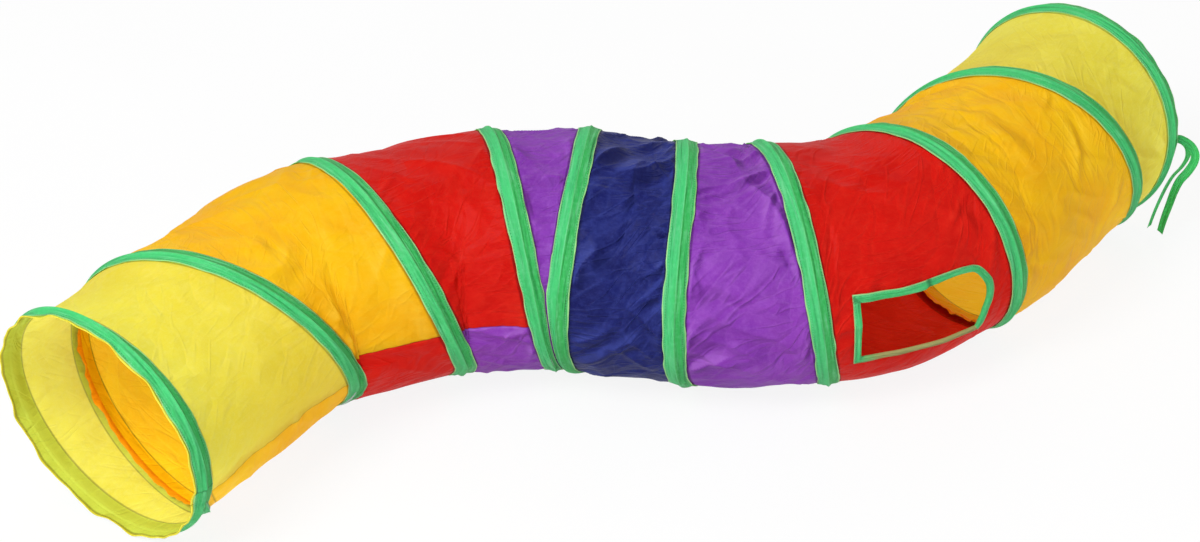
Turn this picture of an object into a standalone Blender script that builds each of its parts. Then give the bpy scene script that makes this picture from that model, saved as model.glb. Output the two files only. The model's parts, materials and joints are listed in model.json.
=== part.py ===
"""S-shaped collapsible cat tunnel: nine cloth panels on one spring wire, bound with tape.

The tunnel is described along its centre line. A ring stands where each of the eight wire turns
ends. From one ring to the next the centre line first bends, over just enough length for the inner
side of the bend to close, and then runs straight: the straight stretch is what collapses.
The wire is a right-handed helix on that bent tube. All metres, +Z up.
"""

from math import cos, hypot, pi, radians, sin

import bmesh
import bpy
from mathutils import Matrix, Vector
from mathutils.bvhtree import BVHTree

# Tunnel
TUNNEL_RADIUS = 0.125        # outside of the cloth
CLOTH = 0.001                # cloth with its coating, as a solid
CLEARANCE = 0.0003           # gap between pieces that touch
BEND_SPARE = 0.006           # how far outside the cloth the planes of a bend may cross
FLOOR_FLAT = 0.0005          # depth of the flat where a binding stands on the floor

# Rings, from the front mouth to the rear one, and the turns between them
START_HEADING = radians(52.7)
RING_LEAN = [radians(a) for a in (-4.5, -13, -6.5, 0, 3.5, 9, -0.5, 1.5, 2.5)]
TURN_BEND = [radians(a) for a in (3, -32, -21.5, -23, 9, 17, 34.5, 15)]
TURN_STRAIGHT = [0.205, 0.111, 0.087, 0.0, 0.095, 0.068, 0.097, 0.214]

# Wire and binding
WIRE = 0.0025
WIRE_SEAT = 0.0007           # gap between the wire and the cloth, taken up where the cloth folds
WIRE_TRIM = 0.0006           # taken off each end of a wire piece, so that a kink clears
TAPE_WIDTH = 0.024
TAPE = 0.0008
HUMP_HALF = 0.0013           # half-width of the binding's inner crest over the wire
LIP_SHOWN = 0.001            # cloth beyond each rim's binding
RIM_APPROACH = 1.6           # how quickly the last turn runs into the rear rim
SLEEVE_LENGTH = 0.014
SLEEVE_WALL = 0.0001

# Cloth
MARGIN_SHARE = 0.3           # of a narrow panel lies flat under each binding
SAG_SHARE = 0.028            # how far a panel draws in between its wires, as a share of its width
FOLD_DEPTH = 0.0022
FOLDS_PER_TURN = 7
FOLD_SKEW = 2.4              # radians by which the folds lean across a panel

# Steps round the tunnel
STEPS_PER_TURN = 28
STEP = 2 * pi / STEPS_PER_TURN
FIRST_ANGLE = -pi / 2 + 5.5 * STEP     # where the wire leaves the front rim, 90 degrees is the top
EXTRA_STEPS = 5                        # the wire goes this much further than its eight turns
TURNS = 8
LAST_STEP = TURNS * STEPS_PER_TURN + EXTRA_STEPS
ACROSS = 4                             # faces across a panel between its two sewn margins
POINT_TRIM = 0.001                     # taken off the two points where the cloth tapers away
SEAM_ANGLES = [FIRST_ANGLE + STEP * n for n in (0, 1, 1, -1, -5, -5, -12, -12)]

# Window in the seventh panel, corners as (way past ring 6, angle)
WINDOW_CORNERS = [(0.009, 13.5), (0.080, 14), (0.103, -1.5), (0.096, -25), (0.011, -21)]
WINDOW_RING = 6
WINDOW_PANEL = 7
BINDING_LEG = 0.007
BINDING_SEAT = 0.0006        # gap between the window's binding and the cloth, for the cloth's ridges
BINDING_STEP = 0.010
CUT_DEPTH = 0.009            # how deep under the tunnel's outside the window is cut
CUT_ABOVE = 0.030
WINDOW_ACROSS = 12           # faces across the window panel, so that its binding lies flat

# Tie ribbons at the rear rim
RIBBON_WIDTH = 0.008
RIBBON = 0.0005
RIBBON_ANGLE = FIRST_ANGLE + 1.5 * STEP
TAB_LENGTH = 0.012
TAB_SEAM = 0.006             # how far the tab lies on the binding

COLOURS = {
    "yellow": (0.80, 0.68, 0.05),
    "orange": (0.93, 0.42, 0.01),
    "red": (0.62, 0.01, 0.01),
    "purple": (0.22, 0.05, 0.42),
    "navy": (0.02, 0.02, 0.16),
    "green": (0.04, 0.50, 0.12),
    "steel": (0.55, 0.56, 0.58),
}
PANEL_COLOURS = ["yellow", "orange", "red", "purple", "navy", "purple", "red", "orange", "yellow"]
PANEL_COUNT = len(PANEL_COLOURS)

# Heights over the cloth's outside
WIRE_CENTRE = WIRE_SEAT + WIRE / 2
TAPE_INNER = CLEARANCE
TAPE_OUTER = TAPE_INNER + TAPE
CREST_INNER = WIRE_SEAT + WIRE + CLEARANCE
CREST_OUTER = CREST_INNER + TAPE
HALF_TAPE = TAPE_WIDTH / 2
RIM_LIP = HALF_TAPE + LIP_SHOWN
LEAST_HALF = HUMP_HALF + 0.0009


class Ring:
    """A cross-section of the tunnel: where it is, which way it faces and how it leans."""

    def __init__(self, x, y, heading, lean):
        self.x, self.y, self.heading, self.lean = x, y, heading, lean


def arc_end(x, y, heading, bend, length):
    """End of a level arc of that length that turns by bend."""
    chord = length if abs(bend) < 1e-9 else 2 * length / bend * sin(bend / 2)
    return x + chord * cos(heading + bend / 2), y + chord * sin(heading + bend / 2)


def bend_length(turn):
    """Centre-line length over which a turn bends and leans."""
    tilt = RING_LEAN[turn + 1] - RING_LEAN[turn]
    return (TUNNEL_RADIUS + BEND_SPARE) * hypot(TURN_BEND[turn], tilt)


def turn_length(turn):
    return bend_length(turn) + TURN_STRAIGHT[turn]


def lay_rings():
    rings = [Ring(0.0, 0.0, START_HEADING, RING_LEAN[0])]
    for turn in range(TURNS):
        last = rings[-1]
        heading = last.heading + TURN_BEND[turn]
        x, y = arc_end(last.x, last.y, last.heading, TURN_BEND[turn], bend_length(turn))
        straight = TURN_STRAIGHT[turn]
        rings.append(Ring(x + straight * cos(heading), y + straight * sin(heading),
                          heading, RING_LEAN[turn + 1]))
    return rings


RINGS = lay_rings()
RING_DISTANCE = [sum(turn_length(i) for i in range(k)) for k in range(TURNS + 1)]
TUNNEL_LENGTH = RING_DISTANCE[-1]


def section_at(distance):
    """Cross-section at a distance along the centre line; past either end it runs straight."""
    turn = 0
    while turn < TURNS - 1 and distance >= RING_DISTANCE[turn + 1]:
        turn += 1
    ring = RINGS[turn]
    along = distance - RING_DISTANCE[turn]
    arc = bend_length(turn)
    share = min(max(along / arc, 0.0), 1.0)
    bend = TURN_BEND[turn] * share
    x, y = arc_end(ring.x, ring.y, ring.heading, bend, arc * share)
    heading = ring.heading + bend
    rest = along - arc * share
    lean = ring.lean + (RING_LEAN[turn + 1] - ring.lean) * share
    return Ring(x + rest * cos(heading), y + rest * sin(heading), heading, lean)


def point(distance, angle, height):
    """Point of the tunnel at a height over the cloth; angle 0 is the right side, 90 the top."""
    ring = section_at(distance)
    radius = TUNNEL_RADIUS + height
    crest = (TUNNEL_RADIUS + CREST_OUTER) * cos(STEP / 2)
    centre = Vector((ring.x, ring.y, crest * cos(ring.lean) - FLOOR_FLAT))
    side = Vector((sin(ring.heading), -cos(ring.heading), 0.0))
    up = Vector((cos(ring.heading) * sin(ring.lean), sin(ring.heading) * sin(ring.lean),
                 cos(ring.lean)))
    return centre + side * (radius * cos(angle)) + up * (radius * sin(angle))


def moved_along(distance, angle, way, height=0.0):
    """Distance whose point lies a given way further along the cloth at that angle."""
    stride = 0.002 if way > 0 else -0.002
    here = point(distance, angle, height)
    left = abs(way)
    while True:
        there = point(distance + stride, angle, height)
        length = (there - here).length
        if length >= left:
            return distance + stride * left / length
        left -= length
        distance += stride
        here = there


def wire_angle(step):
    return FIRST_ANGLE - STEP * step


def wire_distance(step):
    """Where the wire is along the tunnel after that many steps, held at the rims beyond them."""
    turns = TURNS * min(max(step, 0), LAST_STEP) / LAST_STEP
    turn = min(int(turns), TURNS - 1)
    share = turns - turn
    if turn == TURNS - 1:
        share = share ** RIM_APPROACH
    return RING_DISTANCE[turn] + share * turn_length(turn)


def gap_at(step, height=0.0):
    """Width of the cloth between the wire at that step and the wire or rim one turn before."""
    angle = wire_angle(step)
    ahead = point(wire_distance(step), angle, height)
    return (ahead - point(wire_distance(step - STEPS_PER_TURN), angle, height)).length


def turn_end(turn):
    """Step at which the wire passes the ring where that turn ends."""
    return round(LAST_STEP * turn / TURNS)


def seam_step(seam):
    """Step at which the cloth changes colour for the nth time."""
    back = (FIRST_ANGLE - SEAM_ANGLES[seam]) / STEP
    return (seam + 1) * STEPS_PER_TURN + round(back)


def make_object(name, mesh, colour, smooth=True):
    material = bpy.data.materials.new(name + "_" + colour)
    material.use_nodes = True
    shader = material.node_tree.nodes["Principled BSDF"]
    shader.inputs["Base Color"].default_value = (*COLOURS[colour], 1.0)
    shader.inputs["Roughness"].default_value = 0.35 if colour == "steel" else 0.7
    shader.inputs["Metallic"].default_value = 1.0 if colour == "steel" else 0.0
    mesh.materials.append(material)
    if smooth and isinstance(mesh, bpy.types.Mesh):
        mesh.shade_smooth()
        mesh.set_sharp_from_angle(angle=radians(40))
    piece = bpy.data.objects.new(name, mesh)
    TUNNEL.objects.link(piece)
    return piece


def loft(name, sections, colour, ring=False, one_cap=False):
    """Closed solid through sections, each a line of points out and the same count back.

    Its outer and inner faces are all split the same way, so that layers stay clear.
    """
    build = bmesh.new()
    rows = [[build.verts.new(place) for place in section] for section in sections]
    count = len(rows[0])
    pairs = list(zip(rows, rows[1:] + rows[:1])) if ring else list(zip(rows, rows[1:]))
    for near, far in pairs:
        for i in range(count):
            j = (i + 1) % count
            if i < count // 2:
                build.faces.new((near[i], near[j], far[j]))
                build.faces.new((near[i], far[j], far[i]))
            else:
                build.faces.new((near[i], near[j], far[i]))
                build.faces.new((near[j], far[j], far[i]))
    for row in [] if ring else [rows[0], rows[-1]]:
        if one_cap:
            build.faces.new(row)
            continue
        for i in range(count // 2 - 1):
            build.faces.new((row[i], row[i + 1], row[count - 2 - i], row[count - 1 - i]))
    bmesh.ops.recalc_face_normals(build, faces=build.faces)
    mesh = bpy.data.meshes.new(name)
    build.to_mesh(mesh)
    build.free()
    return make_object(name, mesh, colour)


def shorten(sections, start=CLEARANCE / 2, finish=CLEARANCE / 2):
    """Draw both end sections in along the faces they end."""
    for end, inner, way in ((0, 1, start), (-1, -2, finish)):
        reach = min((a - b).length for a, b in zip(sections[end], sections[inner]))
        share = way / reach
        sections[end] = [a.lerp(b, share) for a, b in zip(sections[end], sections[inner])]
    return sections


def cloth_height(step, share, width, folded):
    """Height of the cloth's outside: drawn in between its margins, with a few long folds."""
    belly = 4 * share * (1 - share)
    fold = 0.5 + 0.5 * sin(FOLDS_PER_TURN * wire_angle(step) + FOLD_SKEW * share)
    depth = min(FOLD_DEPTH, SAG_SHARE * width) * fold if folded else 0.0
    return -(SAG_SHARE * width + depth) * belly


def margin(width):
    """Width of cloth that lies flat under a binding."""
    return min(HALF_TAPE, MARGIN_SHARE * width)


def free_stretch(step):
    """The cloth between its two margins at a step: from, to, and its width."""
    angle = wire_angle(step)
    width = gap_at(step)
    low, high = wire_distance(step - STEPS_PER_TURN), wire_distance(step)
    if width < 10 * CLEARANCE:
        return low + (high - low) * MARGIN_SHARE, high - (high - low) * MARGIN_SHARE, width
    return (moved_along(low, angle, margin(width)), moved_along(high, angle, -margin(width)),
            width - 2 * margin(width))


def panel_line(step, across, folded):
    """Places across the cloth as (distance, height), from one wire line to the next."""
    low, high, width = free_stretch(step)
    places = [(low + (high - low) * i / across, cloth_height(step, i / across, width, folded))
              for i in range(across + 1)]
    return [(wire_distance(step - STEPS_PER_TURN), 0.0)] + places + [(wire_distance(step), 0.0)]


def level_like_neighbour(line):
    """Put the finer panel's points on the chords of a panel that has fewer."""
    finer = WINDOW_ACROSS // ACROSS
    for start in range(1, len(line) - finer, finer):
        for i in range(1, finer):
            line[start + i] = line[start].lerp(line[start + finer], i / finer)
    return line


def make_panel(number):
    """One colour of cloth: the strip between the wire and its own last turn."""
    first = 0 if number == 0 else seam_step(number - 1)
    last = seam_step(number) if number < PANEL_COUNT - 1 else LAST_STEP + STEPS_PER_TURN
    folded = number != WINDOW_PANEL - 1
    sections = []
    for step in range(first, last + 1):
        angle = wire_angle(step)
        places = panel_line(step, ACROSS if folded else WINDOW_ACROSS, folded)
        if number == 0:
            places.insert(0, (moved_along(places[0][0], angle, -RIM_LIP), 0.0))
        else:
            places[0] = (moved_along(places[0][0], angle, CLEARANCE / 2), 0.0)
        if number == PANEL_COUNT - 1:
            places.append((moved_along(places[-1][0], angle, RIM_LIP), 0.0))
        else:
            places[-1] = (moved_along(places[-1][0], angle, -CLEARANCE / 2), 0.0)
        outside = [point(at, angle, height) for at, height in places]
        inside = [point(at, angle, height - CLOTH) for at, height in places]
        if not folded and step in (first, last):
            outside, inside = level_like_neighbour(outside), level_like_neighbour(inside)
        sections.append(outside + inside[::-1])
    name = "panel_%d_%s" % (number + 1, PANEL_COLOURS[number])
    start = POINT_TRIM if number == 0 else CLEARANCE / 2
    finish = POINT_TRIM if number == PANEL_COUNT - 1 else CLEARANCE / 2
    return loft(name, shorten(sections, start, finish), PANEL_COLOURS[number])


def on_floor(place):
    return Vector((place.x, place.y, max(place.z, 0.0)))


def tape_section(distance, angle, low_half, high_half):
    """Section of a binding: flat on the cloth at both edges, raised over the wire."""
    heading = section_at(distance).heading
    along = Vector((cos(heading), sin(heading), 0.0))
    low = moved_along(distance, angle, -low_half)
    high = moved_along(distance, angle, high_half)
    section = []
    for edge_height, crest_height, half in ((TAPE_OUTER, CREST_OUTER, HUMP_HALF + TAPE / 2),
                                            (TAPE_INNER, CREST_INNER, HUMP_HALF)):
        crest = point(distance, angle, crest_height)
        line = [point(low, angle, edge_height), crest - along * half, crest + along * half,
                point(high, angle, edge_height)]
        section += line if not section else line[::-1]
    return [on_floor(place) for place in section]


def tape_halves(step):
    """How far the binding reaches from the wire each way before it meets its neighbour."""
    halves = []
    for neighbour, upper in ((step - STEPS_PER_TURN, step), (step + STEPS_PER_TURN, step + STEPS_PER_TURN)):
        gap = min(gap_at(upper), gap_at(upper, CREST_OUTER))
        if 0 <= neighbour <= LAST_STEP:
            room = (gap - CLEARANCE) / 2
        else:
            room = gap - HALF_TAPE - CLEARANCE
        halves.append(min(HALF_TAPE, room))
    return halves


def helix_steps(turn):
    """Steps of one turn, less the ends that lie against a rim's binding."""
    steps = range(turn_end(turn), turn_end(turn + 1) + 1)
    return [step for step in steps if min(tape_halves(step)) >= LEAST_HALF]


def make_turn_tape(turn):
    sections = [tape_section(wire_distance(step), wire_angle(step), *tape_halves(step))
                for step in helix_steps(turn)]
    return loft("tape_turn_%d" % (turn + 1), shorten(sections), "green")


def make_rim_tape(name, distance):
    sections = [tape_section(distance, wire_angle(step), HALF_TAPE, HALF_TAPE)
                for step in range(STEPS_PER_TURN)]
    return loft(name, sections, "green", ring=True)


def make_wire(name, places):
    """Round wire through the places, its ends drawn in a little."""
    for end, inner in ((0, 1), (-1, -2)):
        places[end] = places[end] + (places[inner] - places[end]).normalized() * WIRE_TRIM
    curve = bpy.data.curves.new(name, "CURVE")
    curve.dimensions = "3D"
    curve.bevel_depth = WIRE / 2
    curve.bevel_resolution = 1
    curve.use_fill_caps = True
    spline = curve.splines.new("POLY")
    spline.points.add(len(places) - 1)
    for spot, place in zip(spline.points, places):
        spot.co = (*place, 1.0)
    return make_object(name, curve, "steel")


def make_turn_wire(turn):
    places = [point(wire_distance(step), wire_angle(step), WIRE_CENTRE)
              for step in helix_steps(turn)]
    return make_wire("wire_turn_%d" % (turn + 1), places)


def make_rim_wire(end, distance):
    """Rim ring of wire, open by the length of the crimp sleeve that closes it."""
    corners = [point(distance, wire_angle(step), WIRE_CENTRE)
               for step in range(STEPS_PER_TURN + 1)]
    middle = (corners[0] + corners[1]) / 2
    along = (corners[1] - corners[0]).normalized()
    half = SLEEVE_LENGTH / 2
    ring = make_wire("wire_rim_" + end, [middle + along * half] + corners[1:] + [middle - along * half])
    half -= CLEARANCE
    sleeve = make_wire("crimp_sleeve_" + end, [middle - along * half, middle + along * half])
    sleeve.data.bevel_depth = WIRE / 2 + SLEEVE_WALL
    return ring, sleeve


def window_outline():
    """Places round the window's edge as (distance, angle): corners, ridges of the cloth, and more."""
    corners = [(RING_DISTANCE[WINDOW_RING] + way, radians(a)) for way, a in WINDOW_CORNERS]
    ridges = [FIRST_ANGLE + STEP * n for n in range(-3, 5)]
    outline = []
    for (d0, a0), (d1, a1) in zip(corners, corners[1:] + corners[:1]):
        stops = sorted([0.0, 1.0] + [(ridge - a0) / (a1 - a0) for ridge in ridges
                                     if min(a0, a1) < ridge < max(a0, a1)])
        for near, far in zip(stops, stops[1:]):
            ends = [point(d0 + (d1 - d0) * stop, a0 + (a1 - a0) * stop, 0) for stop in (near, far)]
            pieces = max(1, round((ends[1] - ends[0]).length / BINDING_STEP))
            for i in range(pieces):
                share = near + (far - near) * i / pieces
                outline.append((d0 + (d1 - d0) * share, a0 + (a1 - a0) * share))
    return outline


def cloth_faces(tree, distance, angle):
    """Places straight out from the axis where the panel's inside and outside are."""
    start = point(distance, angle, -TUNNEL_RADIUS * 0.3)
    out = (point(distance, angle, 0) - start).normalized()
    inside = tree.ray_cast(start, out)[0]
    outside = tree.ray_cast(inside + out * CLEARANCE, out)[0]
    return inside, outside, out


def grown(outline, way):
    """The window's outline moved outwards over the cloth by a given way."""
    places = [point(d, a, 0) for d, a in outline]
    middle = sum(places, Vector()) / len(places)
    result = []
    count = len(outline)
    for i, (distance, angle) in enumerate(outline):
        before = (places[i] - places[i - 1]).normalized()
        after = (places[(i + 1) % count] - places[i]).normalized()
        radial = (point(distance, angle, 0.01) - places[i]).normalized()
        out_a, out_b = before.cross(radial).normalized(), after.cross(radial).normalized()
        if out_a.dot(places[i] - middle) < 0:
            out_a, out_b = -out_a, -out_b
        corner = out_a + out_b
        move = corner * (way / (1 + out_a.dot(out_b)))
        ahead = point(distance + 0.0005, angle, 0) - point(distance - 0.0005, angle, 0)
        around = (point(distance, angle + 0.001, 0) - places[i]) / 0.001
        result.append((distance + move.dot(ahead.normalized()) * 0.001 / ahead.length,
                       angle + move.dot(around.normalized()) / around.length))
    return result


def make_window(panel):
    """Cut the window through its panel and bind the cut edge."""
    outline = window_outline()
    rows = [[point(d, a, height) for d, a in outline] for height in (-CUT_DEPTH, CUT_ABOVE)]
    cutter = loft("window_cutter", rows, "green", one_cap=True)
    TUNNEL.objects.unlink(cutter)
    CUTTERS.objects.link(cutter)
    cutter.hide_render = True
    cutter.display_type = "WIRE"
    cut = panel.modifiers.new("window", "BOOLEAN")
    cut.operation = "DIFFERENCE"
    cut.object = cutter

    build = bmesh.new()
    build.from_mesh(panel.data)
    tree = BVHTree.FromBMesh(build)
    build.free()
    near = grown(outline, -CLEARANCE)
    inner = grown(outline, -CLEARANCE - TAPE)
    outer = grown(outline, BINDING_LEG)
    around = grown(outline, CLEARANCE)
    sections = []
    for edge, hem, leg, cloth in zip(near, inner, outer, around):
        leg_in, leg_out, out = cloth_faces(tree, *leg)
        hem_in, hem_out, up = cloth_faces(tree, *cloth)
        near_in = point(*edge, 0)
        near_in += up * ((hem_in - near_in).dot(up) - BINDING_SEAT)
        near_out = near_in + up * ((hem_out - hem_in).length + 2 * BINDING_SEAT)
        far_in = point(*hem, 0)
        far_in += up * ((hem_in - far_in).dot(up) - BINDING_SEAT - TAPE)
        far_out = far_in + up * ((hem_out - hem_in).length + 2 * BINDING_SEAT + 2 * TAPE)
        sections.append([leg_out + out * (BINDING_SEAT + TAPE), far_out, far_in,
                         leg_in - out * (BINDING_SEAT + TAPE), leg_in - out * BINDING_SEAT,
                         near_in, near_out, leg_out + out * BINDING_SEAT])
    return loft("window_binding", sections, "green", ring=True)


def strip(name, places, across, colour):
    """Flat ribbon along the places, its width along the across vectors."""
    sections = []
    for i, (place, side) in enumerate(zip(places, across)):
        ahead = places[min(i + 1, len(places) - 1)] - places[max(i - 1, 0)]
        half = side.normalized() * (RIBBON_WIDTH / 2)
        thick = ahead.cross(side).normalized() * (RIBBON / 2)
        sections.append([place - half - thick, place + half - thick,
                         place + half + thick, place - half + thick])
    return loft(name, sections, colour)


# Routes of the two tails from the tab's end: right, away and up, in metres
TAIL_ROUTE_A = [
    (0.000, 0.000, 0.000), (0.008, 0.001, -0.004), (0.016, 0.001, -0.011), (0.0205, 0.000, -0.020),
    (0.020, -0.001, -0.030), (0.014, -0.003, -0.041), (0.006, -0.005, -0.051),
    (0.001, -0.006, -0.064), (-0.003, -0.006, -0.082), (-0.007, -0.006, -0.100),
    (-0.010, -0.006, -0.118)]
TAIL_ROUTE_B = [
    (0.000, 0.000, 0.000), (0.0065, 0.0035, -0.0045), (0.012, 0.006, -0.011), (0.015, 0.008, -0.020),
    (0.0145, 0.008, -0.030), (0.009, 0.007, -0.041), (0.001, 0.006, -0.051),
    (-0.005, 0.006, -0.064), (-0.011, 0.006, -0.082), (-0.016, 0.006, -0.100),
    (-0.020, 0.006, -0.118)]
TAIL_TURN_A = radians(60)              # how far each tail's width twists on its way down
TAIL_TURN_B = radians(-25)


def make_ribbons():
    """Two tie tails that start face to face at a tab sewn on the rear rim's binding."""
    edge = TUNNEL_LENGTH
    seat = CLEARANCE + RIBBON / 2 - TUNNEL_RADIUS * (1 - cos(STEP / 2))
    slope = (CREST_OUTER - TAPE_OUTER) / (HALF_TAPE - HUMP_HALF)
    base = point(edge + HALF_TAPE - TAB_SEAM, RIBBON_ANGLE, TAPE_OUTER + slope * TAB_SEAM + seat)
    bend = point(edge + HALF_TAPE + TAPE, RIBBON_ANGLE, TAPE_OUTER + seat)
    outward = (bend - base).normalized()
    tip = base + outward * TAB_LENGTH
    around = (point(edge, RIBBON_ANGLE + 0.01, 0) - point(edge, RIBBON_ANGLE - 0.01, 0)).normalized()
    facing = around.cross(outward).normalized()
    pieces = [strip("ribbon_tab", [base, tip], [around, around], "green")]
    for name, route, turn, layer in (("ribbon_tail_a", TAIL_ROUTE_A, TAIL_TURN_A, 0),
                                     ("ribbon_tail_b", TAIL_ROUTE_B, TAIL_TURN_B, 1)):
        start = tip + outward * CLEARANCE + facing * (layer * (RIBBON + CLEARANCE))
        places = [start + Vector(way) for way in route]
        across = []
        side = around
        for i, place in enumerate(places):
            if i > 0:
                ahead = (places[min(i + 1, len(places) - 1)] - places[i - 1]).normalized()
                side = (side - ahead * side.dot(ahead)).normalized()
                side = Matrix.Rotation(turn / (len(places) - 1), 3, ahead) @ side
            across.append(side)
        pieces.append(strip(name, places, across, "green"))
    return pieces


def build_tunnel():
    """Make every piece; the result says at which ring each belongs."""
    home = {}
    panels = [make_panel(number) for number in range(PANEL_COUNT)]
    for number, panel in enumerate(panels):
        home[panel] = number
    for turn in range(TURNS):
        home[make_turn_tape(turn)] = turn + 1
        home[make_turn_wire(turn)] = turn + 1
    for end, ring in (("front", 0), ("rear", TURNS)):
        home[make_rim_tape("tape_rim_" + end, RING_DISTANCE[ring])] = ring
        for piece in make_rim_wire(end, RING_DISTANCE[ring]):
            home[piece] = ring
    home[make_window(panels[WINDOW_PANEL - 1])] = WINDOW_RING
    for piece in make_ribbons():
        home[piece] = TURNS
    return home


def middle_of(pieces):
    """Middle of the ground area that the pieces cover."""
    spots = [vertex.co for piece in pieces if piece.type == "MESH" for vertex in piece.data.vertices]
    middle = [(min(spot[i] for spot in spots) + max(spot[i] for spot in spots)) / 2 for i in (0, 1)]
    return Vector((*middle, 0.0))


def settle(home):
    """Move everything so that the origin is under the middle, each piece's own at its ring."""
    shift = middle_of([piece for piece in home if not piece.name.startswith("ribbon_tail")])
    for cutter in CUTTERS.objects:
        cutter.data.transform(Matrix.Translation(-shift))
    for piece, number in home.items():
        ring = RINGS[number]
        centre = Vector((ring.x, ring.y, TUNNEL_RADIUS))
        piece.data.transform(Matrix.Translation(-centre))
        piece.location = centre - shift
    return shift


def start_empty():
    for old in list(bpy.data.objects):
        bpy.data.objects.remove(old)
    collections = []
    for name in ("cat_tunnel", "cutters"):
        collection = bpy.data.collections.new(name)
        bpy.context.scene.collection.children.link(collection)
        collections.append(collection)
    return collections


TUNNEL, CUTTERS = start_empty()
SHIFT = settle(build_tunnel())
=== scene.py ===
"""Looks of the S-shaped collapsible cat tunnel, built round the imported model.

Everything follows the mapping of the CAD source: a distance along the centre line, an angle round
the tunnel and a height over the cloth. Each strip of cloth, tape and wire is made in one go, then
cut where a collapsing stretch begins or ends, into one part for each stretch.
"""

import json
from math import pi, radians

import bmesh
import bpy
import numpy as np
from mathutils import Matrix, Vector

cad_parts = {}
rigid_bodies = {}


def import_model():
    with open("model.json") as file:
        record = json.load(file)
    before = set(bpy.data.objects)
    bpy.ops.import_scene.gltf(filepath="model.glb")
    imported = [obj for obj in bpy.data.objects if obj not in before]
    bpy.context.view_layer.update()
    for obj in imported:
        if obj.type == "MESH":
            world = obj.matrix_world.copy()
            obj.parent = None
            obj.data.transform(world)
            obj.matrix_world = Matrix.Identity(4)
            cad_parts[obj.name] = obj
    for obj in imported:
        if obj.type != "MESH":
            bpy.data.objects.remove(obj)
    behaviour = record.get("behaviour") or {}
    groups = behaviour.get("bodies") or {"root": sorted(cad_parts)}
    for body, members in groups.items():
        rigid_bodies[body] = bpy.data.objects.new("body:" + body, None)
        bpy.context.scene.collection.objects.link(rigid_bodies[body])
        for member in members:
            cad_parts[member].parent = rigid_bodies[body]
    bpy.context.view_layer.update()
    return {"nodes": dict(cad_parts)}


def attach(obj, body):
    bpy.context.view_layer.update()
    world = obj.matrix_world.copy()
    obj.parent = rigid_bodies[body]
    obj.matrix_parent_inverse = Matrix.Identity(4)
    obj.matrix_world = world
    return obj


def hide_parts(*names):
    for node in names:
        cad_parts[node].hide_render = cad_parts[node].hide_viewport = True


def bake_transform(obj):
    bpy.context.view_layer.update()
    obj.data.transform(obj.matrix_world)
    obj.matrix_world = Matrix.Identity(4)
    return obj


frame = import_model()

# Camera, at the photograph's viewing angle
CAMERA_PLACE = (-0.01691, -2.53254, 1.78837)
CAMERA_UP = Vector((0.013748, 0.552267, 0.833554))
CAMERA_BACK = Vector((0.003378, -0.833654, 0.552277))
CAMERA_LENS = 87.887         # millimetres, on a sensor 36 wide

# The tunnel's mapping, as in the CAD source: eight turns of the wire between nine rings
TUNNEL_RADIUS = 0.125
BEND_SPARE = 0.006           # how far outside the cloth the planes of a bend may cross
FLOOR_FLAT = 0.0005          # depth of the flat where a binding stands on the floor
WINDOW_PANEL = 6
WINDOW_RING = 6              # the window is measured from this ring
START_HEADING = radians(52.7)
RING_LEAN = np.radians([-4.5, -13, -6.5, 0, 3.5, 9, -0.5, 1.5, 2.5])
TURN_BEND = np.radians([3, -32, -21.5, -23, 9, 17, 34.5, 15])
TURN_STRAIGHT = np.array([0.205, 0.111, 0.087, 0.0, 0.095, 0.068, 0.097, 0.214])
SHIFT = np.array([0.50048, 0.27465, 0.0])        # so that the origin lies under the middle
TURNS = 8
STEPS_PER_TURN = 28
STEP = 2 * pi / STEPS_PER_TURN
FIRST_ANGLE = -pi / 2 + 5.5 * STEP               # where the coil leaves the front rim
LAST_STEP = TURNS * STEPS_PER_TURN + 5           # where it ends in the rear rim
RIM_APPROACH = 1.6           # how the last turn of the wire eases up to the rear rim
CLEARANCE = 0.0003           # gap between pieces of the model that touch
MODEL_TAPE = 0.0008          # thickness of the model's binding
EDGE_OUTER = CLEARANCE + MODEL_TAPE              # height of the binding's edges over the cloth
CREST_INNER = 0.0035
CREST_OUTER = 0.0043         # height of its ridge
HUMP_HALF = 0.0013           # half-width of its crest over the wire
HALF_TAPE = 0.012
RIM_LIP = 0.013              # way from a rim's wire to the end of its cloth
LIP_BEAD = 0.0009            # radius of the rolled hem at the front rim
FOLDED_MARK = 0.030          # tells the material that this is a folded allowance
MARGIN_SHARE = 0.3           # most of the gap between two wires that each binding covers
SAG_SHARE = 0.028            # how far the cloth is drawn in, as a share of its width
FOLD_DEPTH = 0.0022          # most that its folds are drawn in besides
FOLDS_PER_TURN = 7
FOLD_SKEW = 2.4              # radians by which the folds lean across a panel
HANG_SHARE = 0.040           # how much further the cloth hangs out on the underside
UNDER_CALM = 0.55            # how much flatter the folds are there
WIRE = 0.0025
WIRE_SEAT = 0.0007           # height of the wire's inside over the cloth
PANEL_COLOURS = ["yellow", "orange", "red", "purple", "navy", "purple", "red", "orange", "yellow"]
PANEL_STEPS = [0, 28, 55, 83, 113, 145, 173, 208, 236, 257]     # steps along the wire, at the colour seams
PANELS = ["panel_%d_%s" % (i + 1, colour) for i, colour in enumerate(PANEL_COLOURS)]
LAST_PANEL = len(PANELS) - 1

# Fineness of the meshes
ROWS = 13                    # rows to a step
ACROSS = 54                  # cells across the free cloth
AROUND = TUNNEL_RADIUS * STEP


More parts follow.
